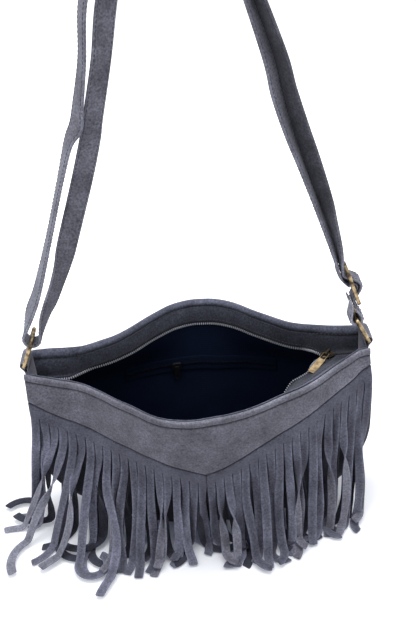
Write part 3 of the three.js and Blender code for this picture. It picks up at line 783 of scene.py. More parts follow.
# Yoke: the upper front, a suede piece with a pointed lower edge, lying over the front panel.
# Its top is turned over the lip and topstitched; its lower edge is seamed to the fringe in a fine groove.
yoke_edge = [
    (-134, 127), (-120, 116), (-110, 109.5), (-100, 104), (-90, 99.5), (-78, 95.5), (-64, 92.5),
    (-50, 90.5), (-36, 87.5), (-22, 82.5), (-10, 77), (0, 72),
    (30, 87.5), (60, 102.5), (90, 116), (120, 128.5), (134, 138),
]
outer_depth = 3.2
lip_stitch = 5.0


def yoke_z(x):
    """Height of the seam under the yoke, by the spots it passes."""
    for (x0, z0), (x1, z1) in zip(yoke_edge, yoke_edge[1:]):
        if x <= x1:
            return lerp(z0, z1, (x - x0) / (x1 - x0))


def yoke_shade(x):
    """The yoke is paler towards the right end, where it faces the light."""
    return 0.45 * ease((x - 30) / 80)


def yoke_row(height_at, depth):
    return [on_wall(FRONT, x, height_at(x), depth) for x in yoke_columns]


yoke_suede = suede("yoke_suede", (0.130, 0.131, 0.163), 0.6, 0.38)
yoke_columns = sorted(panel_columns + [-2.5, 2.5])
yoke_rows, yoke_marks = [], []
# The yoke's marks: the rows tucked into the lower seam are darker, a painted shade in the seam; the stitch
# groove under the lip is darker and the rolled lip and its turned top paler, painted shade and painted
# highlight.
for rise, tuck in ((0.3, 2.0), (0.5, 0.9), (1.1, 0.25), (2.2, 0.0)):
    yoke_rows.append(yoke_row(lambda x: yoke_z(x) + rise, outer_depth - tuck))
    yoke_marks.append(-0.4 * tuck)
for k in range(1, 14):
    yoke_rows.append(yoke_row(lambda x: lerp(yoke_z(x) + 2.2, rim_z(FRONT, x) - 8.5, k / 13), outer_depth))
    yoke_marks.append(0.0)
for below in (7.5, 6.6, 5.8, 5.4, 5.0, 4.6, 4.2, 3.4, 2.4, 1.4, 0.6):
    groove = math.exp(-((below - lip_stitch) / 0.7) ** 2)
    puff = 0.4 * ease((lip_stitch - below) / 2.4)
    yoke_rows.append(yoke_row(lambda x: rim_z(FRONT, x) - below, outer_depth - 1.1 * groove + puff))
    yoke_marks.append(0.3 * ease((2.2 - below) / 2) - 0.9 * groove)
for lift, tuck in ((0.3, -0.1), (1.0, 0.9), (1.1, 2.6)):
    yoke_rows.append(yoke_row(lambda x: rim_z(FRONT, x) + lift, outer_depth - tuck))
    yoke_marks.append(0.45)
yoke = cloth("yoke", yoke_rows, suede_thick, yoke_suede, False, yoke_marks, yoke_shade)
soft_part(yoke, "front_yoke")


# Fringe: two pieces of suede, one under each half of the yoke, slit into long strands.
# The strands hang from an uncut header and lie where they came down on the floor, some turned over.
fringe_grey = (0.095, 0.098, 0.134)
fringe_back = (0.140, 0.142, 0.178)
strands_per_half = 20
header = 15.0
strand_slit = 0.3
strand_step = 3.0
lean_in = 24.0
floor_bend = 9.0
lay_height = 1.0
strand_spread = 0.18
strand_overlap = 0.7
under_depth = 1.9
# Strand tones: a random darker or paler tone, paler towards the left end as a painted light, and paler cut
# edges, partly a painted highlight.
strand_tone_and_light = {"dark": -0.32, "pale": 0.42, "left": 0.55, "cut": 0.75}
# Each strand from left to right: where its tip lies on the floor in millimetres, its half turns,
# how it curls on the floor, and how much slack it has. A strand with no entry is lost under its neighbours.
left_strands = [
    (-158, -20, 0, 0.5, 8), (-150, -34, 1, 0.0, 8), (-172, -34, 1, 0.0, 10), (-164, -58, -1, 2.5, 30),
    (-138, -66, 0, -2.0, 16), (-138, -84, 1, 0.0, 8), (-112, -92, 0, 5.0, 46), (-110, -70, 0, 3.0, 26),
    (-88, -118, 0, 0.0, 6), (-84, -84, 1, -2.0, 12), (-76, -90, 0, 0.4, 6), (-68, -93, 0, -0.4, 6),
    (-60, -96, 0, 0.0, 6), (-54, -92, 0, 0.3, 6), (-46, -95, -1, 0.0, 6), (-42, -88, 1, 0.0, 8),
    (-32, -84, 0, -2.0, 10), (-20, -88, 0, -0.6, 6), (-22, -70, 0, 2.5, 18), (-4, -64, 0, -2.0, 16),
]
right_strands = [
    (6, -66, 0, 3.0, 22), (13, -84, 1, 4.0, 16), (20, -95, 1, 0.2, 6), (25, -84, 0, -5.0, 18),
    (32, -92, 0, 5.0, 16), (38, -88, 0, -2.0, 8), (46, -95, 0, -0.4, 6), (49, -82, 0, 6.0, 20),
    (59, -88, 0, -4.0, 12), (64, -83, 0, 0.0, 6), (72, -80, -1, -3.0, 14), (73, -68, 1, 4.0, 18),
    (84, -76, 0, 0.0, 6), (88, -70, 0, -6.0, 16), (99, -69, 1, 2.0, 8), (100, -56, 0, 5.0, 20),
    (110, -67, -1, -2.0, 8), (113, -60, 0, -6.0, 18), (124, -58, 0, 4.0, 14), (127, -50, 1, -3.0, 10),
]
left_under = [
    (-150, -6, 0, 3.0, 30), (-140, -30, 1, -3.0, 30), None, (-128, -50, 0, 3.0, 40), (-118, -40, 1, -2.0, 36),
    None, (-100, -60, 0, 3.0, 40), (-96, -62, 1, -3.0, 34), (-84, -66, 0, 2.0, 30), (-78, -64, 0, 0.0, 8),
    (-72, -68, 1, 1.0, 12), (-60, -68, 0, 0.0, 8), (-52, -70, 0, -1.5, 16), (-46, -66, 0, 0.0, 8),
    (-36, -66, 1, 1.5, 18), None, (-24, -62, 0, -3.0, 30), None, (-4, -66, 0, 3.0, 44), None,
]
right_under = [
    None, (14, -60, 0, -3.0, 40), (22, -66, 0, 1.0, 12), None, (34, -68, 0, 1.5, 14), (42, -66, 0, 0.0, 8),
    None, (54, -64, 0, 2.0, 18), (60, -62, 1, -2.0, 18), (68, -60, 0, 0.0, 8), (74, -54, 0, 2.5, 26),
    (80, -52, 1, -3.0, 30), (86, -50, 0, 2.0, 22), None, (96, -46, 0, -2.0, 20), (104, -44, 0, 2.5, 26),
    None, (114, -40, 0, -2.5, 22), (120, -38, 1, 1.0, 14), None,
]
header_levels = ((0.0, 2.0), (0.4, 0.9), (1.0, 0.25), (2.2, 0), (5, 0), (8, 0), (11, 0), (13, 0), (header, 0))
strand_across = (-1.0, -0.34, 0.34, 1.0)


def strand_path(start, tip, half_turns, curl, slack, sway, layer):
    """Centre line, width and face of one strand, from the header down to the floor and along to its tip."""
    reach = Vector((tip[0] - start.x, tip[1] - start.y))
    heading = math.degrees(math.atan2(reach.x, -reach.y))
    pitch = math.degrees(math.atan2(max(reach.length - 4, 0.0), start.z))
    length = math.hypot(reach.length, start.z) + slack
    way = math.radians(heading)
    lying = (heading + 90) % 180 - 90
    end_turn = math.radians(min(max(lying, -40), 40) + 180 * half_turns)
    fall = start.z / math.cos(math.radians(pitch))
    spot = start.copy()
    lay = lay_height + 1.3 * layer
    path = []
    landed = False
    turned = 0.0
    steps = round(length / strand_step)
    for k in range(steps + 1):
        done = k * strand_step
        lean = math.radians(lerp(5, pitch, ease(done / lean_in)))
        height = spot.z - lay
        if height < floor_bend:
            lean = max(lean, math.asin(min(max(1 - height / floor_bend, 0), 1)))
        if landed:
            turned += math.radians(curl) * strand_step
        elif height < 0.5:
            landed = True
        facing = way + turned + 0.40 * sway * math.sin(done / 17 + 5 * sway)
        ahead_now = Vector((
            math.sin(lean) * math.sin(facing), -math.sin(lean) * math.cos(facing), -math.cos(lean)))
        twist = end_turn * ease((done - 0.1 * fall) / (0.75 * fall)) + turned
        wobble = 0.55 * sway * math.sin(done / 13)
        wide = Vector((math.cos(twist + wobble), math.sin(twist + wobble), 0))
        wide = (wide - ahead_now * wide.dot(ahead_now)).normalized()
        path.append((spot.copy(), wide, wide.cross(ahead_now)))
        spot = spot + ahead_now * strand_step
        spot.z = max(spot.z, lay)
    return path


def fringe_piece(name, hand, strands, seed, depth, finish, reverse):
    """One half of a fringe: an uncut header under the yoke's seam, and the strands that hang from it."""
    draw = random.Random(seed)
    pitch_x = half_width / strands_per_half
    spots, faces, edge_and_shading_marks = [], [], []
    for k, strand in enumerate(strands):
        if not strand:
            continue
        *tip, half_turns, curl, slack = strand
        x_low = k * pitch_x if hand > 0 else (k - strands_per_half) * pitch_x
        x_high = x_low + pitch_x
        sway = draw.uniform(-1, 1)
        cup = draw.uniform(-0.5, 0.5)
        layer = draw.choice((0, 1, 2))
        slack += draw.uniform(-2, 2)
        tone = draw.uniform(strand_tone_and_light["dark"], strand_tone_and_light["pale"])
        # Strands towards the left end are painted paler, a painted light.
        tone += strand_tone_and_light["left"] * ease((-x_low - 40) / 80)
        rows = []
        for below, tuck in header_levels:
            row = []
            for c in strand_across:
                x = lerp(x_low, x_high, (c + 1) / 2)
                if below > header - 4 and abs(c) == 1:
                    x -= c * strand_slit / 2 * (below - header + 4) / 4
                row.append(Vector(on_wall(FRONT, x, yoke_z(x) - 0.3 - below, depth - tuck)))
            rows.append(row)
        start = (rows[-1][1] + rows[-1][2]) / 2
        path = strand_path(start, tip, half_turns, curl, slack, sway, layer)
        half = (pitch_x - strand_slit) / 2
        offsets = [rows[-1][i] - (start + path[0][1] * half * c) for i, c in enumerate(strand_across)]
        for j, (spot, wide, front) in enumerate(path[1:], 1):
            done = j * strand_step
            hold = 1 - ease(done / 24)
            broad = half * (1 + strand_spread * ease(done / 40))
            step_out = strand_overlap * (k % 2 * 2 - 1) * ease(done / 18)
            bend = cup * ease(done / 30)
            row = []
            for i, c in enumerate(strand_across):
                proud = bend * (1 - c * c) + step_out
                row.append(spot + wide * broad * c + front * proud + offsets[i] * hold)
            rows.append(row)
        base = len(spots)
        across = len(strand_across)
        for r, row in enumerate(rows):
            cut = ease((r - len(header_levels) + 3) / 3)
            shade = tone * ease((r - len(header_levels)) / 9)
            spots += [place(*p) for p in row]
            # Cut edges are paler, partly the raw edge's own colour and partly a painted highlight.
            edge_and_shading_marks += [shade + (strand_tone_and_light["cut"] * cut if abs(c) == 1 else 0.0) for c in strand_across]
        for r in range(len(rows) - 1):
            for c in range(across - 1):
                a = base + r * across + c
                faces.append((a, a + across, a + across + 1, a + 1))
    mesh = bpy.data.meshes.new(name)
    mesh.from_pydata(spots, [], faces)
    mark_points(mesh, edge_and_shading_marks)
    welded = bmesh.new()
    welded.from_mesh(mesh)
    bmesh.ops.remove_doubles(welded, verts=welded.verts, dist=0.02 * MM)
    welded.to_mesh(mesh)
    welded.free()
    piece = add_piece(name, mesh, finish, reverse)
    return thicken(piece, suede_thick)


fringe_suede = suede("fringe_suede", fringe_grey, 0.85, 0.36)
fringe_reverse = suede("fringe_reverse", fringe_back, 0.6, 0.36)
# The under strands' suede is painted near-black, a painted shade behind the front strands.
shade_suede = suede("fringe_shade", (0.034, 0.036, 0.052), 0.3)
for word, hand, strands, under, seed in (("left", -1, left_strands, left_under, 11),
                                         ("right", 1, right_strands, right_under, 23)):
    fringe = fringe_piece(
        f"cut_fringe_{word}", hand, strands, seed, outer_depth, fringe_suede, fringe_reverse)
    soft_part(fringe, f"fringe_{word}")
    lower = fringe_piece(f"under_fringe_{word}", hand, under, seed + 1, under_depth, shade_suede, shade_suede)
    close_with_zip(lower)


# Rings: cast rectangular loops of antique brass, one in the tab at each end of the mouth.
# They lean inward with the strap and their far ends are pulled up.
brass_bright = (0.40, 0.30, 0.17)
brass_dark = (0.055, 0.042, 0.030)
ring = {"length": 30.0, "height": 26.0, "wire": 3.4, "bend": 3.4}
ring_eye = {"x": 137.2, "z": 155.0}
ring_lean = {-1: math.radians(23), 1: math.radians(27)}


def aged_brass(name, bright, dark):
    """Antique brass: worn bright in patches, brown and dull between them."""
    material, tree = new_material(name)
    wear = noise_of(tree, object_spot(tree), 210, 4)
    ramp = node(tree, "ShaderNodeValToRGB", {"Fac": wear})
    for stop, position, colour in zip(ramp.color_ramp.elements, (0.40, 0.62), (dark, bright)):
        stop.position = position
        stop.color = (*colour, 1)
    coat(tree, node(tree, "ShaderNodeBsdfPrincipled", {
        "Base Color": ramp.outputs["Color"],
        "Roughness": ranged(tree, wear, 0.55, 0.28, 0.35, 0.65),
        "Normal": bumped(tree, wear, 0.25, 0.0002),
        "Metallic": 1.0,
    }))
    return material


brass = aged_brass("aged_brass", brass_bright, brass_dark)


def face_out(mesh, weld=0.0):
    """Turns a mesh's faces outward, its spots within the weld distance joined first."""
    turned = bmesh.new()
    turned.from_mesh(mesh)
    if weld:
        bmesh.ops.remove_doubles(turned, verts=turned.verts, dist=weld)
    bmesh.ops.recalc_face_normals(turned, faces=turned.faces)
    turned.to_mesh(mesh)
    turned.free()


def tube_mesh(name, sections, looped):
    """A mesh through like sections; each is a ring of points in millimetres."""
    sides = len(sections[0])
    spots = [place(*p) for section in sections for p in section]
    spans = len(sections) if looped else len(sections) - 1
    faces = []
    for s in range(spans):
        here = s * sides
        there = (s + 1) % len(sections) * sides
        for k in range(sides):
            k1 = (k + 1) % sides
            faces.append((here + k, here + k1, there + k1, there + k))
    if not looped:
        faces.append(tuple(range(sides))[::-1])
        faces.append(tuple(len(spots) - sides + k for k in range(sides)))
    mesh = bpy.data.meshes.new(name)
    mesh.from_pydata(spots, [], faces)
    face_out(mesh)
    mesh.polygons.foreach_set("use_smooth", [True] * len(mesh.polygons))
    return mesh


def wire_sections(path, normal, radius, looped, square=0.75, sides=14):
    """Rounded-square wire sections along a flat path whose plane has the given normal."""
    sections = []
    for i, spot in enumerate(path):
        before = path[(i - 1) % len(path)] if looped else path[max(i - 1, 0)]
        after = path[(i + 1) % len(path)] if looped else path[min(i + 1, len(path) - 1)]
        along = (after - before).normalized()
        up = along.cross(normal).normalized()
        section = []
        for k in range(sides):
            angle = 2 * math.pi * (k + 0.5) / sides
            c, s = math.cos(angle), math.sin(angle)
            reach = radius / (abs(c) ** (2 / square) + abs(s) ** (2 / square)) ** (square / 2)
            section.append(spot + normal * reach * c + up * reach * s)
        sections.append(section)
    return sections


def rounded_loop(centre, right, up, width, height, bend, steps=6):
    """A rounded rectangle's centre line in the plane of two directions."""
    path = []
    for sx, sy, start in ((1, -1, -90), (1, 1, 0), (-1, 1, 90), (-1, -1, 180)):
        for k in range(steps + 1):
            angle = math.radians(start + 90 * k / steps)
            a = sx * (width / 2 - bend) + bend * math.cos(angle)
            b = sy * (height / 2 - bend) + bend * math.sin(angle)
            path.append(centre + right * a + up * b)
    return path


def plain_part(piece, cad_node, body="bag"):
    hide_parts(cad_node)
    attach(piece, body)


bar_to_bar = ring["height"] - ring["wire"]
for word, hand in (("left", -1), ("right", 1)):
    along = Vector((0, 1, 0))
    up = Vector((-hand * math.sin(ring_lean[hand]), 0, math.cos(ring_lean[hand])))
    centre = Vector((hand * ring_eye["x"], 0, ring_eye["z"])) + up * bar_to_bar / 2
    loop = rounded_loop(centre, along, up, ring["length"] - ring["wire"], bar_to_bar, ring["bend"])
    sections = wire_sections(loop, along.cross(up).normalized(), ring["wire"] / 2, True)
    ring_piece = add_piece(f"brass_ring_{word}", tube_mesh("ring", sections, True), brass)
    plain_part(ring_piece, f"ring_{word}", f"{word}_ring")


# Tabs: short strips of suede folded round each ring's lower bar and sewn to the outside of the gusset.
# Both ends of the fold lie on the gusset, under a box of stitches.
tab_width = 21.0
tab_ply = 1.2
tab_bottom = 124.0


def band_sections(stations, half_width_mm, half_thick):
    """Sections of a flat band with soft edges, for stations of spot, width direction, face and thickness."""
    outline = ((-1, -0.3), (-1, 0.3), (-0.95, 0.75), (-0.6, 1), (0, 1), (0.6, 1), (0.95, 0.75),
               (1, 0.3), (1, -0.3), (0.95, -0.75), (0.6, -1), (0, -1), (-0.6, -1), (-0.95, -0.75))
    sections, marks = [], []
    for spot, wide, face, share in stations:
        sections.append([
            spot + wide * half_width_mm * w + face * half_thick * share * t for w, t in outline])
        marks += [ease((abs(w) - 0.6) / 0.36) for w, t in outline]
    return sections, marks


def smooth_path(points, step):
    """Points of a Catmull-Rom curve through rows of numbers, at about even steps along the first three."""
    dense = []
    for i in range(len(points) - 1):
        p0 = points[max(i - 1, 0)]
        p1, p2 = points[i], points[i + 1]
        p3 = points[min(i + 2, len(points) - 1)]
        span = (Vector(p2[:3]) - Vector(p1[:3])).length
        count = max(1, round(span / step))
        for k in range(count):
            t = k / count
            row = []
            for a, b, c, d in zip(p0, p1, p2, p3):
                bend, twist = 2 * a - 5 * b + 4 * c - d, 3 * b - a - 3 * c + d
                row.append(0.5 * (2 * b + (c - a) * t + bend * t * t + twist * t ** 3))
            dense.append(row)
    dense.append(list(points[-1]))
    return dense


def stations_of(points):
    """Band stations from rows of x, y, z, turn in degrees and thickness; an unturned width lies along Y."""
    stations = []
    for i, (x, y, z, turn_deg, share) in enumerate(points):
        before = Vector(points[max(i - 1, 0)][:3])
        after = Vector(points[min(i + 1, len(points) - 1)][:3])
        along = (after - before).normalized()
        wide = Vector((0, 1, 0))
        wide = (wide - along * wide.dot(along)).normalized()
        wide = Quaternion(along, math.radians(turn_deg)) @ wide
        stations.append((Vector((x, y, z)), wide, along.cross(wide), share))
    return stations


def band_piece(name, stations, width, thick, finish, tones=()):
    """A band of cloth through stations; the first ones may be paler or darker, as many as there are tones."""
    sections, marks = band_sections(stations, width / 2, thick / 2)
    sides = len(sections[0])
    for i, lift in enumerate(tones):
        for k in range(i * sides, (i + 1) * sides):
            marks[k] += lift
    mesh = tube_mesh(name, sections, False)
    mark_points(mesh, marks)
    return add_piece(name, mesh, finish)


# The tabs' suede is painted paler than the walls', a painted light on the tabs.
tab_painted_light_suede = suede("tab_painted_light_suede", (0.170, 0.171, 0.205), 0.3)
thread_grey = plastic("grey_thread", (0.062, 0.064, 0.082), 0.7, 0.1)
tab_eye = ring["wire"] / 2 + 0.8 + tab_ply / 2
tab_lap = tab_ply + 0.2


def tab_out(hand, z):
    """Distance of a tab's inner ply from the middle of the bag, lying on the gusset."""
    return (half_width - gusset_sag * gusset_hollow(z)) * flare(hand, z, 0.0) + 1.0 + tab_ply / 2


for word, hand in (("left", -1), ("right", 1)):
    levels = [tab_bottom, tab_bottom + 12, ring_eye["z"] - 6.5]
    path = [(tab_out(hand, z), z) for z in levels]
    for k in range(13):
        angle = math.radians(215 - 250 * k / 12)
        path.append((ring_eye["x"] + tab_eye * math.cos(angle), ring_eye["z"] + tab_eye * math.sin(angle)))
    path += [(tab_out(hand, z) + tab_lap + (0.5 if z == levels[-1] else 0.0), z) for z in reversed(levels)]
    stations = stations_of(smooth_path([(hand * x, 0, z, 0, 1) for x, z in path], 1.5))
    tab = band_piece(f"ring_tab_{word}", stations, tab_width, tab_ply, tab_painted_light_suede)
    plain_part(tab, f"tab_{word}")


# Strap: one long band of two suede plies sewn together along both edges, doubled through the left ring.
# It starts sewn round the right ring, runs over the top and back, and ends on the buckle's middle bar.
strap_grey = (0.150, 0.152, 0.188)
strap_width = 15.0
strap_thick = 2.4
strap_gap = 1.0
strap_loop = {-1: 6.4, 1: 4.6}
strap_loop_lift = 1.0
sewn_end = 24.0
top_radius = 21.7
strap_clear = 0.4
strap_tone_and_light = {"sewn": 2.4, "right": -1.5, "left": 0.9}
buckle = {"length": 31.0, "width": 22.0, "bar": 3.0, "lift": 33.0}
leg_lean = math.radians(19.2)
leg_foot = {"x": 134.541, "z": 171.708}
ply = (strap_thick + strap_gap) / 2
top_z = leg_foot["z"] + (leg_foot["x"] * math.cos(leg_lean) - top_radius) / math.sin(leg_lean)
leg_length = (top_z - leg_foot["z"]) * math.cos(leg_lean) + leg_foot["x"] * math.sin(leg_lean)


def on_leg(hand, up, out, turned=0.0, share=1.0, y=0.0):
    """A spot on a leg of the strap, by its height along the leg and its distance to the outside."""
    x = leg_foot["x"] - math.sin(leg_lean) * up + math.cos(leg_lean) * out
    z = leg_foot["z"] + math.cos(leg_lean) * up + math.sin(leg_lean) * out
    return (hand * x, y, z, turned, share)


def bar_on_leg(hand):
    """The ring's upper bar, by its height along the leg and its distance to the outside."""
    dx = ring_eye["x"] - bar_to_bar * math.sin(ring_lean[hand]) - leg_foot["x"]
    dz = ring_eye["z"] + bar_to_bar * math.cos(ring_lean[hand]) - leg_foot["z"]
    up = dz * math.cos(leg_lean) - dx * math.sin(leg_lean)
    out = dx * math.cos(leg_lean) + dz * math.sin(leg_lean)
    return (up, out)


def round_ring(hand, start, end, y=0.0):
    """The strap's way round a ring's upper bar, from one angle to another in degrees."""
    up, out = bar_on_leg(hand)
    up += strap_loop_lift
    loop = strap_loop[hand]
    turns = [math.radians(lerp(start, end, k / 8)) for k in range(9)]
    return [on_leg(hand, up + loop * math.sin(a), out + loop * math.cos(a), y=y) for a in turns]


def over_top(radius, start, end):
    turns = [lerp(start, end, k / 10) for k in range(1, 10)]
    return [(radius * math.cos(a), 0.0, top_z + radius * math.sin(a), 0.0, 1.0) for a in turns]


bar_step = (buckle["length"] - buckle["bar"]) / 2
pass_inside = -(buckle["bar"] + strap_thick) / 2 - strap_clear
wrap = buckle["bar"] * math.sqrt(0.5) + strap_clear + tab_ply / 2
pass_outside = wrap + tab_ply / 2 + strap_clear + strap_thick / 2
bar_clear = buckle["bar"] / 2 + 1
half_share = tab_ply / strap_thick
sewn_out = pass_inside - strap_thick / 2 - strap_clear - tab_ply / 2
left_out = bar_on_leg(-1)[1]
right_out = bar_on_leg(1)[1]
buckle_out = pass_inside - strap_thick - 0.9
# Rows along each leg: height up the leg, distance to the outside, and how far the band is turned in degrees.
through_buckle = [
    (-bar_step - bar_clear, pass_inside), (-bar_step + bar_clear, pass_inside), (-wrap, pass_outside),
    (wrap, pass_outside), (bar_step - bar_clear, pass_inside), (bar_step + bar_clear, pass_inside),
]
right_outer = [
    (67, 0.0, 14), (92, 1.5, 34), (110, 2.9, 44), (144, 3.9, 50), (168, 4.4, 46), (197, 5.9, 36),
    (225, 8.0, 32), (290, 6.5, 20), (leg_length, ply),
]
left_outer = [
    (leg_length, ply), (300, 7.0, -15), (264, 8.6, -20), (228, 1.8, -20), (196, -2.0, -30), (183, -3.4, -38),
    (170, -0.6, -22), (141, -0.6, -14), (93, -1.2, -14), (48, -0.8, -22),
    (26, left_out + strap_loop[-1] - 0.6, -24),
]
left_inner = [
    (26, left_out - strap_loop[-1] + 0.2, -26), (40, -12.4, -40), (58, -14.2, -44), (76, -15.2, -58),
    (96, -15.0, -84), (145, -15.3, -86), (176, -14.6, -74), (190, -13.4, -66), (231, -10.3, -60),
    (269, -5.6, -66), (320, -3.0, -30), (leg_length, -ply),
]
right_inner = [
    (leg_length, -ply), (290, 0.5, 14), (225, 0.0, 30), (197, -3.2, 32), (168, -4.8, 24), (144, -4.7, 17),
    (110, -4.2, 15), (67, -4.0, 16),
    (buckle["lift"] + bar_step + bar_clear, buckle_out), (buckle["lift"] + bar_step - bar_clear, buckle_out),
]
strap_points = [
    on_leg(1, sewn_end + 1, sewn_out - 1.2, 0, half_share, -3.0),
    on_leg(1, 18, sewn_out - 0.4, 0, half_share, -3.5),
    *round_ring(1, 180, 360, -4.5),
    on_leg(1, 12, right_out + 3.2, y=-3.0),
    *[on_leg(1, buckle["lift"] + up, out) for up, out in through_buckle],
    *[on_leg(1, *row) for row in right_outer],
    *over_top(top_radius + ply, leg_lean, math.pi - leg_lean),
    *[on_leg(-1, *row) for row in left_outer],
    *round_ring(-1, 360, 180),
    *[on_leg(-1, *row) for row in left_inner],
    *over_top(top_radius - ply, math.pi - leg_lean, leg_lean),
    *[on_leg(1, *row) for row in right_inner],
    on_leg(1, buckle["lift"] + 7, pass_inside - 2.2, 0, half_share),
]
for k in range(9):
    angle = math.radians(150 - 33 * k)
    strap_points.append(
        on_leg(1, buckle["lift"] + wrap * math.sin(angle), wrap * math.cos(angle), 0, half_share))
strap_stations = stations_of(smooth_path(strap_points, 2.4))
strap_suede = suede("strap_suede", strap_grey, 0.42, 0.42)
top_at = next(i for i, station in enumerate(strap_stations) if station[0].x < 0)
left_stations = [i for i in range(top_at, len(strap_stations)) if strap_stations[i][0].x < 0]
ring_at = min(left_stations, key=lambda i: strap_stations[i][0].z)
# The sewn end is pale, the outer layer of the right leg darkened as a painted shade, and that of the left leg
# paler near its ring as a painted light.
strap_tones = []
for i, station in enumerate(strap_stations[:ring_at]):
    above_foot = station[0].z - leg_foot["z"]
    if i < top_at:
        sewn = strap_tone_and_light["sewn"] * (1 - ease((i - 14) / 10))
        strap_tones.append(sewn + strap_tone_and_light["right"] * ease((above_foot - 60) / 40))
    else:
        strap_tones.append(strap_tone_and_light["left"] * (1 - ease((above_foot - 110) / 120)))
strap = band_piece("doubled_strap", strap_stations, strap_width, strap_thick, strap_suede, strap_tones)
plain_part(strap, "strap")

stitch_size = (2.3, 0.5, 0.5)
stitch_pitch = 3.1
stitch_in = 1.6
stitch_sunk = 0.03
strap_seams = []
for edge in (-1, 1):
    for face_side in (-1, 1):
        seam = []
        for spot, wide, face, share in strap_stations[6:-20]:
            proud = strap_thick / 2 * share - stitch_sunk
            seam.append((spot + wide * edge * (strap_width / 2 - stitch_in) + face * face_side * proud, wide))
        strap_seams.append(seam)
strap_thread = beads_along("strap_stitches", strap_seams, stitch_pitch, stitch_size, thread_grey)
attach(strap_thread, "bag")


# Buckle: a flat cast frame of antique brass with a middle bar, threaded on the right leg of the strap.
# The strap's end is sewn round its middle bar, and the other layer runs behind its two outer bars.
def flat_casting(name, outlines, thick, bevel):
    """A plate cut to closed outlines in millimetres, holes included, with bevelled edges, at the origin."""
    curve = bpy.data.curves.new(name, "CURVE")
    curve.dimensions = "2D"
    curve.fill_mode = "BOTH"
    curve.extrude = (thick / 2 - bevel) * MM
    curve.bevel_depth = bevel * MM
    curve.bevel_resolution = 2
    curve.offset = -bevel * MM
    for outline in outlines:
        spline = curve.splines.new("POLY")
        spline.points.add(len(outline) - 1)
        spline.use_cyclic_u = True
        for point, (x, y) in zip(spline.points, outline):
            point.co = (x * MM, y * MM, 0, 1)
    holder = bpy.data.objects.new(name, curve)
    bpy.context.scene.collection.objects.link(holder)
    depsgraph = bpy.context.evaluated_depsgraph_get()
    mesh = bpy.data.meshes.new_from_object(holder.evaluated_get(depsgraph))
    bpy.data.objects.remove(holder)
    bpy.data.curves.remove(curve)
    face_out(mesh, 0.001 * MM)
    return mesh


def rounded_outline(left, right, low, high, bend, steps=4):
    outline = []
    for cx, cy, start in ((right - bend, low + bend, -90), (right - bend, high - bend, 0),
                          (left + bend, high - bend, 90), (left + bend, low + bend, 180)):
        for k in range(steps + 1):
            angle = math.radians(start + 90 * k / steps)
            outline.append((cx + bend * math.cos(angle), cy + bend * math.sin(angle)))
    return outline


half_l, half_w, bar = buckle["length"] / 2, buckle["width"] / 2, buckle["bar"]
buckle_outlines = [rounded_outline(-half_w, half_w, -half_l, half_l, 2.5)]
for low, high in ((-half_l + bar, -bar / 2), (bar / 2, half_l - bar)):
    buckle_outlines.append(rounded_outline(-half_w + bar, half_w - bar, low, high, 1.2))
buckle_mesh = flat_casting("buckle", buckle_outlines, bar, 0.8)
leg_up = Vector((-math.sin(leg_lean), 0, math.cos(leg_lean)))
across_leg = Vector((0, 1, 0))
buckle_turn = Matrix((across_leg, leg_up, across_leg.cross(leg_up))).transposed().to_4x4()
buckle_mesh.transform(Matrix.Translation(place(*on_leg(1, buckle["lift"], 0)[:3])) @ buckle_turn)
buckle_piece = add_piece("strap_slide", buckle_mesh, brass)
plain_part(buckle_piece, "strap_buckle")


# Zip slider and pull: a cast body with a plate above and below the coil and a wedge between, a bail on top,
# and a flat pull on two thin arms whose cross wire runs under the bail.
slider = {"x": 106.5, "length": 12.4, "width": 10.6, "plate": 1.4, "gap": 3.6, "post": 1.1}
bail = {"length": 7.4, "height": 3.6, "width": 2.0, "bar": 1.2, "wire_lift": 1.2}
pull = {"arm": 8.0, "plate": 18.5, "width": 6.4, "wire": 1.2}
pull_yaw = math.radians(-128)
pull_dip = math.radians(6)
pull_slip = 1.6


def joined(name, *meshes):
    """One mesh from several, each already in its place."""
    whole = bmesh.new()
    for mesh in meshes:
        whole.from_mesh(mesh)
        bpy.data.meshes.remove(mesh)
    made = bpy.data.meshes.new(name)
    whole.to_mesh(made)
    whole.free()
    return made


slider_spot = Matrix.Translation(place(slider["x"], 0, zip_right["z"]))
half_gap = slider["gap"] / 2
shield = []
for k in range(40):
    angle = 2 * math.pi * k / 40
    x = slider["length"] / 2 * math.cos(angle)
    y = slider["width"] / 2 * math.sin(angle) * (0.86 - 0.14 * math.cos(angle))
    shield.append((x * (abs(math.cos(angle)) ** -0.25 if abs(math.cos(angle)) > 0.2 else 1.0) * 0.98, y))
slider_parts = []
for level in (half_gap + slider["plate"] / 2, -half_gap - slider["plate"] / 2):
    plate = flat_casting("slider_plate", [shield], slider["plate"], 0.45)
    plate.transform(slider_spot @ Matrix.Translation((0, 0, level * MM)))
    slider_parts.append(plate)
half_post = slider["post"] / 2
wedge_outline = rounded_outline(-half_post, half_post, -half_post, half_post, 0.3)
wedge = flat_casting("slider_wedge", [wedge_outline], slider["gap"] + 1.0, 0.1)
wedge.transform(slider_spot @ Matrix.Translation(((slider["post"] - slider["length"]) / 2 * MM, 0, 0)))
slider_parts.append(wedge)
plate_top = half_gap + slider["plate"]
half_bail = bail["length"] / 2
half_eye = half_bail - bail["bar"]
bail_outer = rounded_outline(-half_bail, half_bail, -3.0, bail["height"], 1.8)
bail_inner = rounded_outline(-half_eye, half_eye, -1.2, bail["height"] - bail["bar"], 0.9)
arch = flat_casting("slider_bail", [bail_outer, bail_inner], bail["width"], 0.35)
stand = Matrix.Rotation(pull_yaw, 4, "Z") @ Matrix.Rotation(math.pi / 2, 4, "X")
bail_drop = Matrix.Translation((0, 0, plate_top * MM))
arch.transform(slider_spot @ bail_drop @ stand)
slider_parts.append(arch)
dull_brass = aged_brass("dull_brass", (0.12, 0.095, 0.065), (0.018, 0.015, 0.013))
slider_piece = add_piece("slider_body", joined("slider_body", *slider_parts), dull_brass)
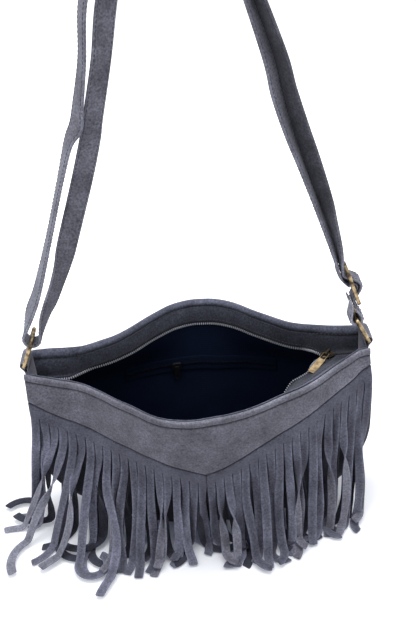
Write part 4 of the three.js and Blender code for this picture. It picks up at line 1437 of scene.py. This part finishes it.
plain_part(slider_piece, "zip_slider", "main_slider")

pull_half = pull["width"] / 2
pull_reach = pull["arm"] + pull["plate"]
pull_outline = [(-0.6, -pull_half + 0.6), (0.0, -pull_half), (pull["arm"] - 1.5, -pull_half + 0.4)]
pull_outline += [(pull["arm"] + 0.5, -pull_half)]
for k in range(7):
    angle = math.radians(-90 + 90 * k / 6)
    pull_outline.append((pull_reach - 2 + 2 * math.cos(angle), -pull_half + 2 + 2 * math.sin(angle)))
pull_outline += [(x, -y) for x, y in reversed(pull_outline)]
arm_window = rounded_outline(0.6, pull["arm"], -pull_half + pull["wire"], pull_half - pull["wire"], 0.8)
pull_mesh = flat_casting("pull", [pull_outline, arm_window], pull["wire"], 0.3)
for face in pull_mesh.polygons:
    face.material_index = 1 if face.center.x < pull["arm"] * MM or abs(face.normal.z) < 0.5 else 0
wire_z = plate_top + bail["wire_lift"]
pull_turn = Matrix.Rotation(pull_yaw, 4, "Z") @ Matrix.Rotation(pull_dip, 4, "Y")
wire_spot = Vector((math.cos(pull_yaw) * pull_slip, math.sin(pull_yaw) * pull_slip, wire_z)) * MM
pull_mesh.transform(slider_spot @ Matrix.Translation(wire_spot) @ pull_turn)
pull_brass = aged_brass("pull_brass", (0.46, 0.34, 0.19), (0.19, 0.14, 0.08))
pull_piece = add_piece("pull_plate", pull_mesh, pull_brass, dull_brass)
plain_part(pull_piece, "zip_pull", "main_pull")


# Pocket zip: a narrow navy tape let into the back lining, its fine dark coil in the middle.
# A small dark slider runs on it, with a flat pull hanging from its ring.
pocket_slider = {"x": -18.0, "length": 8.0, "height": 7.0, "thick": 2.6, "proud": 2.2}
pocket_pull = {"length": 14.0, "width": 4.5, "thick": 1.0, "gap": 0.7}


def pocket_spot(x, z, proud):
    """A spot over the back lining along the pocket zip, by how far it stands off the cloth into the bag."""
    return on_wall(BACK, x, z, lining_depth - 2.2 - proud)


pocket_tape_cloth = woven("pocket_tape", (0.0030, 0.0058, 0.0160), 0.7, 0.25)
pocket_tape_rows = []
for k in range(5):
    z = pocket["z"] + pocket["tape"] * (k / 4 - 0.5)
    pocket_tape_rows.append([pocket_spot(x, z, 0.0) for x in pocket_columns])
pocket_tape = cloth("pocket_tape", pocket_tape_rows, 0.8, pocket_tape_cloth)
soft_part(pocket_tape, "pocket_zip")
pocket_coil_plastic = plastic("pocket_coil", (0.003, 0.005, 0.011), 0.6, 0.12)
pocket_line = []
for k in range(91):
    x = lerp(pocket["left"] + 3, pocket["right"] - 3, k / 90)
    pocket_line.append((pocket_spot(x, pocket["z"], 0.5), (0, 0, 1)))
pocket_coil = beads_along("pocket_coil", [pocket_line], 1.3, (0.9, 3.2, 1.2), pocket_coil_plastic)
close_with_zip(pocket_coil)

dark_brass = plastic("dark_brass", (0.004, 0.004, 0.006), 0.6, 0.15)
slider_x = pocket_slider["x"]
upright = Vector((0, 0, 1))
slider_out = Vector(pocket_spot(slider_x, pocket["z"], pocket_slider["proud"]))
tape_ahead = Vector(pocket_spot(slider_x + 3, pocket["z"], pocket_slider["proud"]))
tape_along = (tape_ahead - slider_out).normalized()
pocket_turn = Matrix((tape_along, upright, tape_along.cross(upright))).transposed().to_4x4()
half_l, half_h = pocket_slider["length"] / 2, pocket_slider["height"] / 2
body_outline = rounded_outline(-half_l, half_l, -half_h, half_h, 1.5)
pocket_body = flat_casting("pocket_body", [body_outline], pocket_slider["thick"], 0.5)
pocket_body.transform(Matrix.Translation(place(*slider_out)) @ pocket_turn)
pocket_body_piece = add_piece("pocket_slider_body", pocket_body, dark_brass)
soft_part(pocket_body_piece, "pocket_zip_slider", "pocket_slider")
half_w, pull_foot = pocket_pull["width"] / 2, -pocket_pull["length"]
plate_outline = rounded_outline(-half_w, half_w, pull_foot + 1, 1, 1.6)
plate_hole = rounded_outline(-1.1, 1.1, pull_foot + 3.0, pull_foot + 6.0, 0.9)
pocket_plate = flat_casting("pocket_plate", [plate_outline, plate_hole], pocket_pull["thick"], 0.25)
plate_proud = pocket_slider["proud"] + pocket_slider["thick"] / 2 + pocket_pull["gap"]
plate_spot = Vector(pocket_spot(slider_x, pocket["z"], plate_proud))
pocket_plate.transform(Matrix.Translation(place(*plate_spot)) @ pocket_turn)
pocket_plate_piece = add_piece("pocket_pull_plate", pocket_plate, dark_brass)
soft_part(pocket_plate_piece, "pocket_zip_pull", "pocket_pull")


# Stitches: grey thread sewn along both lips, both edges of the facings and the tabs.
# Each stitch is a short raised grain lying in a shallow groove.
lip_seams = []
for side, depth in ((FRONT, outer_depth - 0.55), (BACK, suede_thick + 0.1)):
    lip_line = []
    for k in range(161):
        x = lerp(-half_width + 2, half_width - 2, k / 160)
        lip_line.append((on_wall(side, x, rim_z(side, x) - lip_stitch, depth), (0, 0, 1)))
    lip_seams.append(lip_line)
for side in (FRONT, BACK):
    upper, lower = [], []
    for k in range(161):
        x = lerp(-zip_reach + 2, zip_reach - 2, k / 160)
        upper.append((rim_to_zip(side, x, zip_span(side, x) - 5.5, 0.72), (0, 0, 1)))
        lower.append((rim_to_zip(side, x, tape_cover + 1.6, 0.72), (0, 0, 1)))
    lip_seams += [upper, lower]
lip_thread = beads_along("lip_stitches", lip_seams, stitch_pitch, stitch_size, thread_grey)
close_with_zip(lip_thread)

tab_seams = []
for hand in (-1, 1):
    over = tab_lap + tab_ply / 2
    for y in (-tab_width / 2 + 2, tab_width / 2 - 2):
        rise = [tab_bottom + 2 + k for k in range(20)]
        tab_seams.append([((hand * (tab_out(hand, z) + over), y, z), (0, 1, 0)) for z in rise])
    foot = tab_bottom + 2
    tab_seams.append([((hand * (tab_out(hand, foot) + over), y, foot), (0, 0, 1)) for y in range(-8, 9)])
tab_thread = beads_along("tab_stitches", tab_seams, stitch_pitch, stitch_size, thread_grey)
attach(tab_thread, "bag")


# The view layer is brought up to date, the script's last line.
bpy.context.view_layer.update()
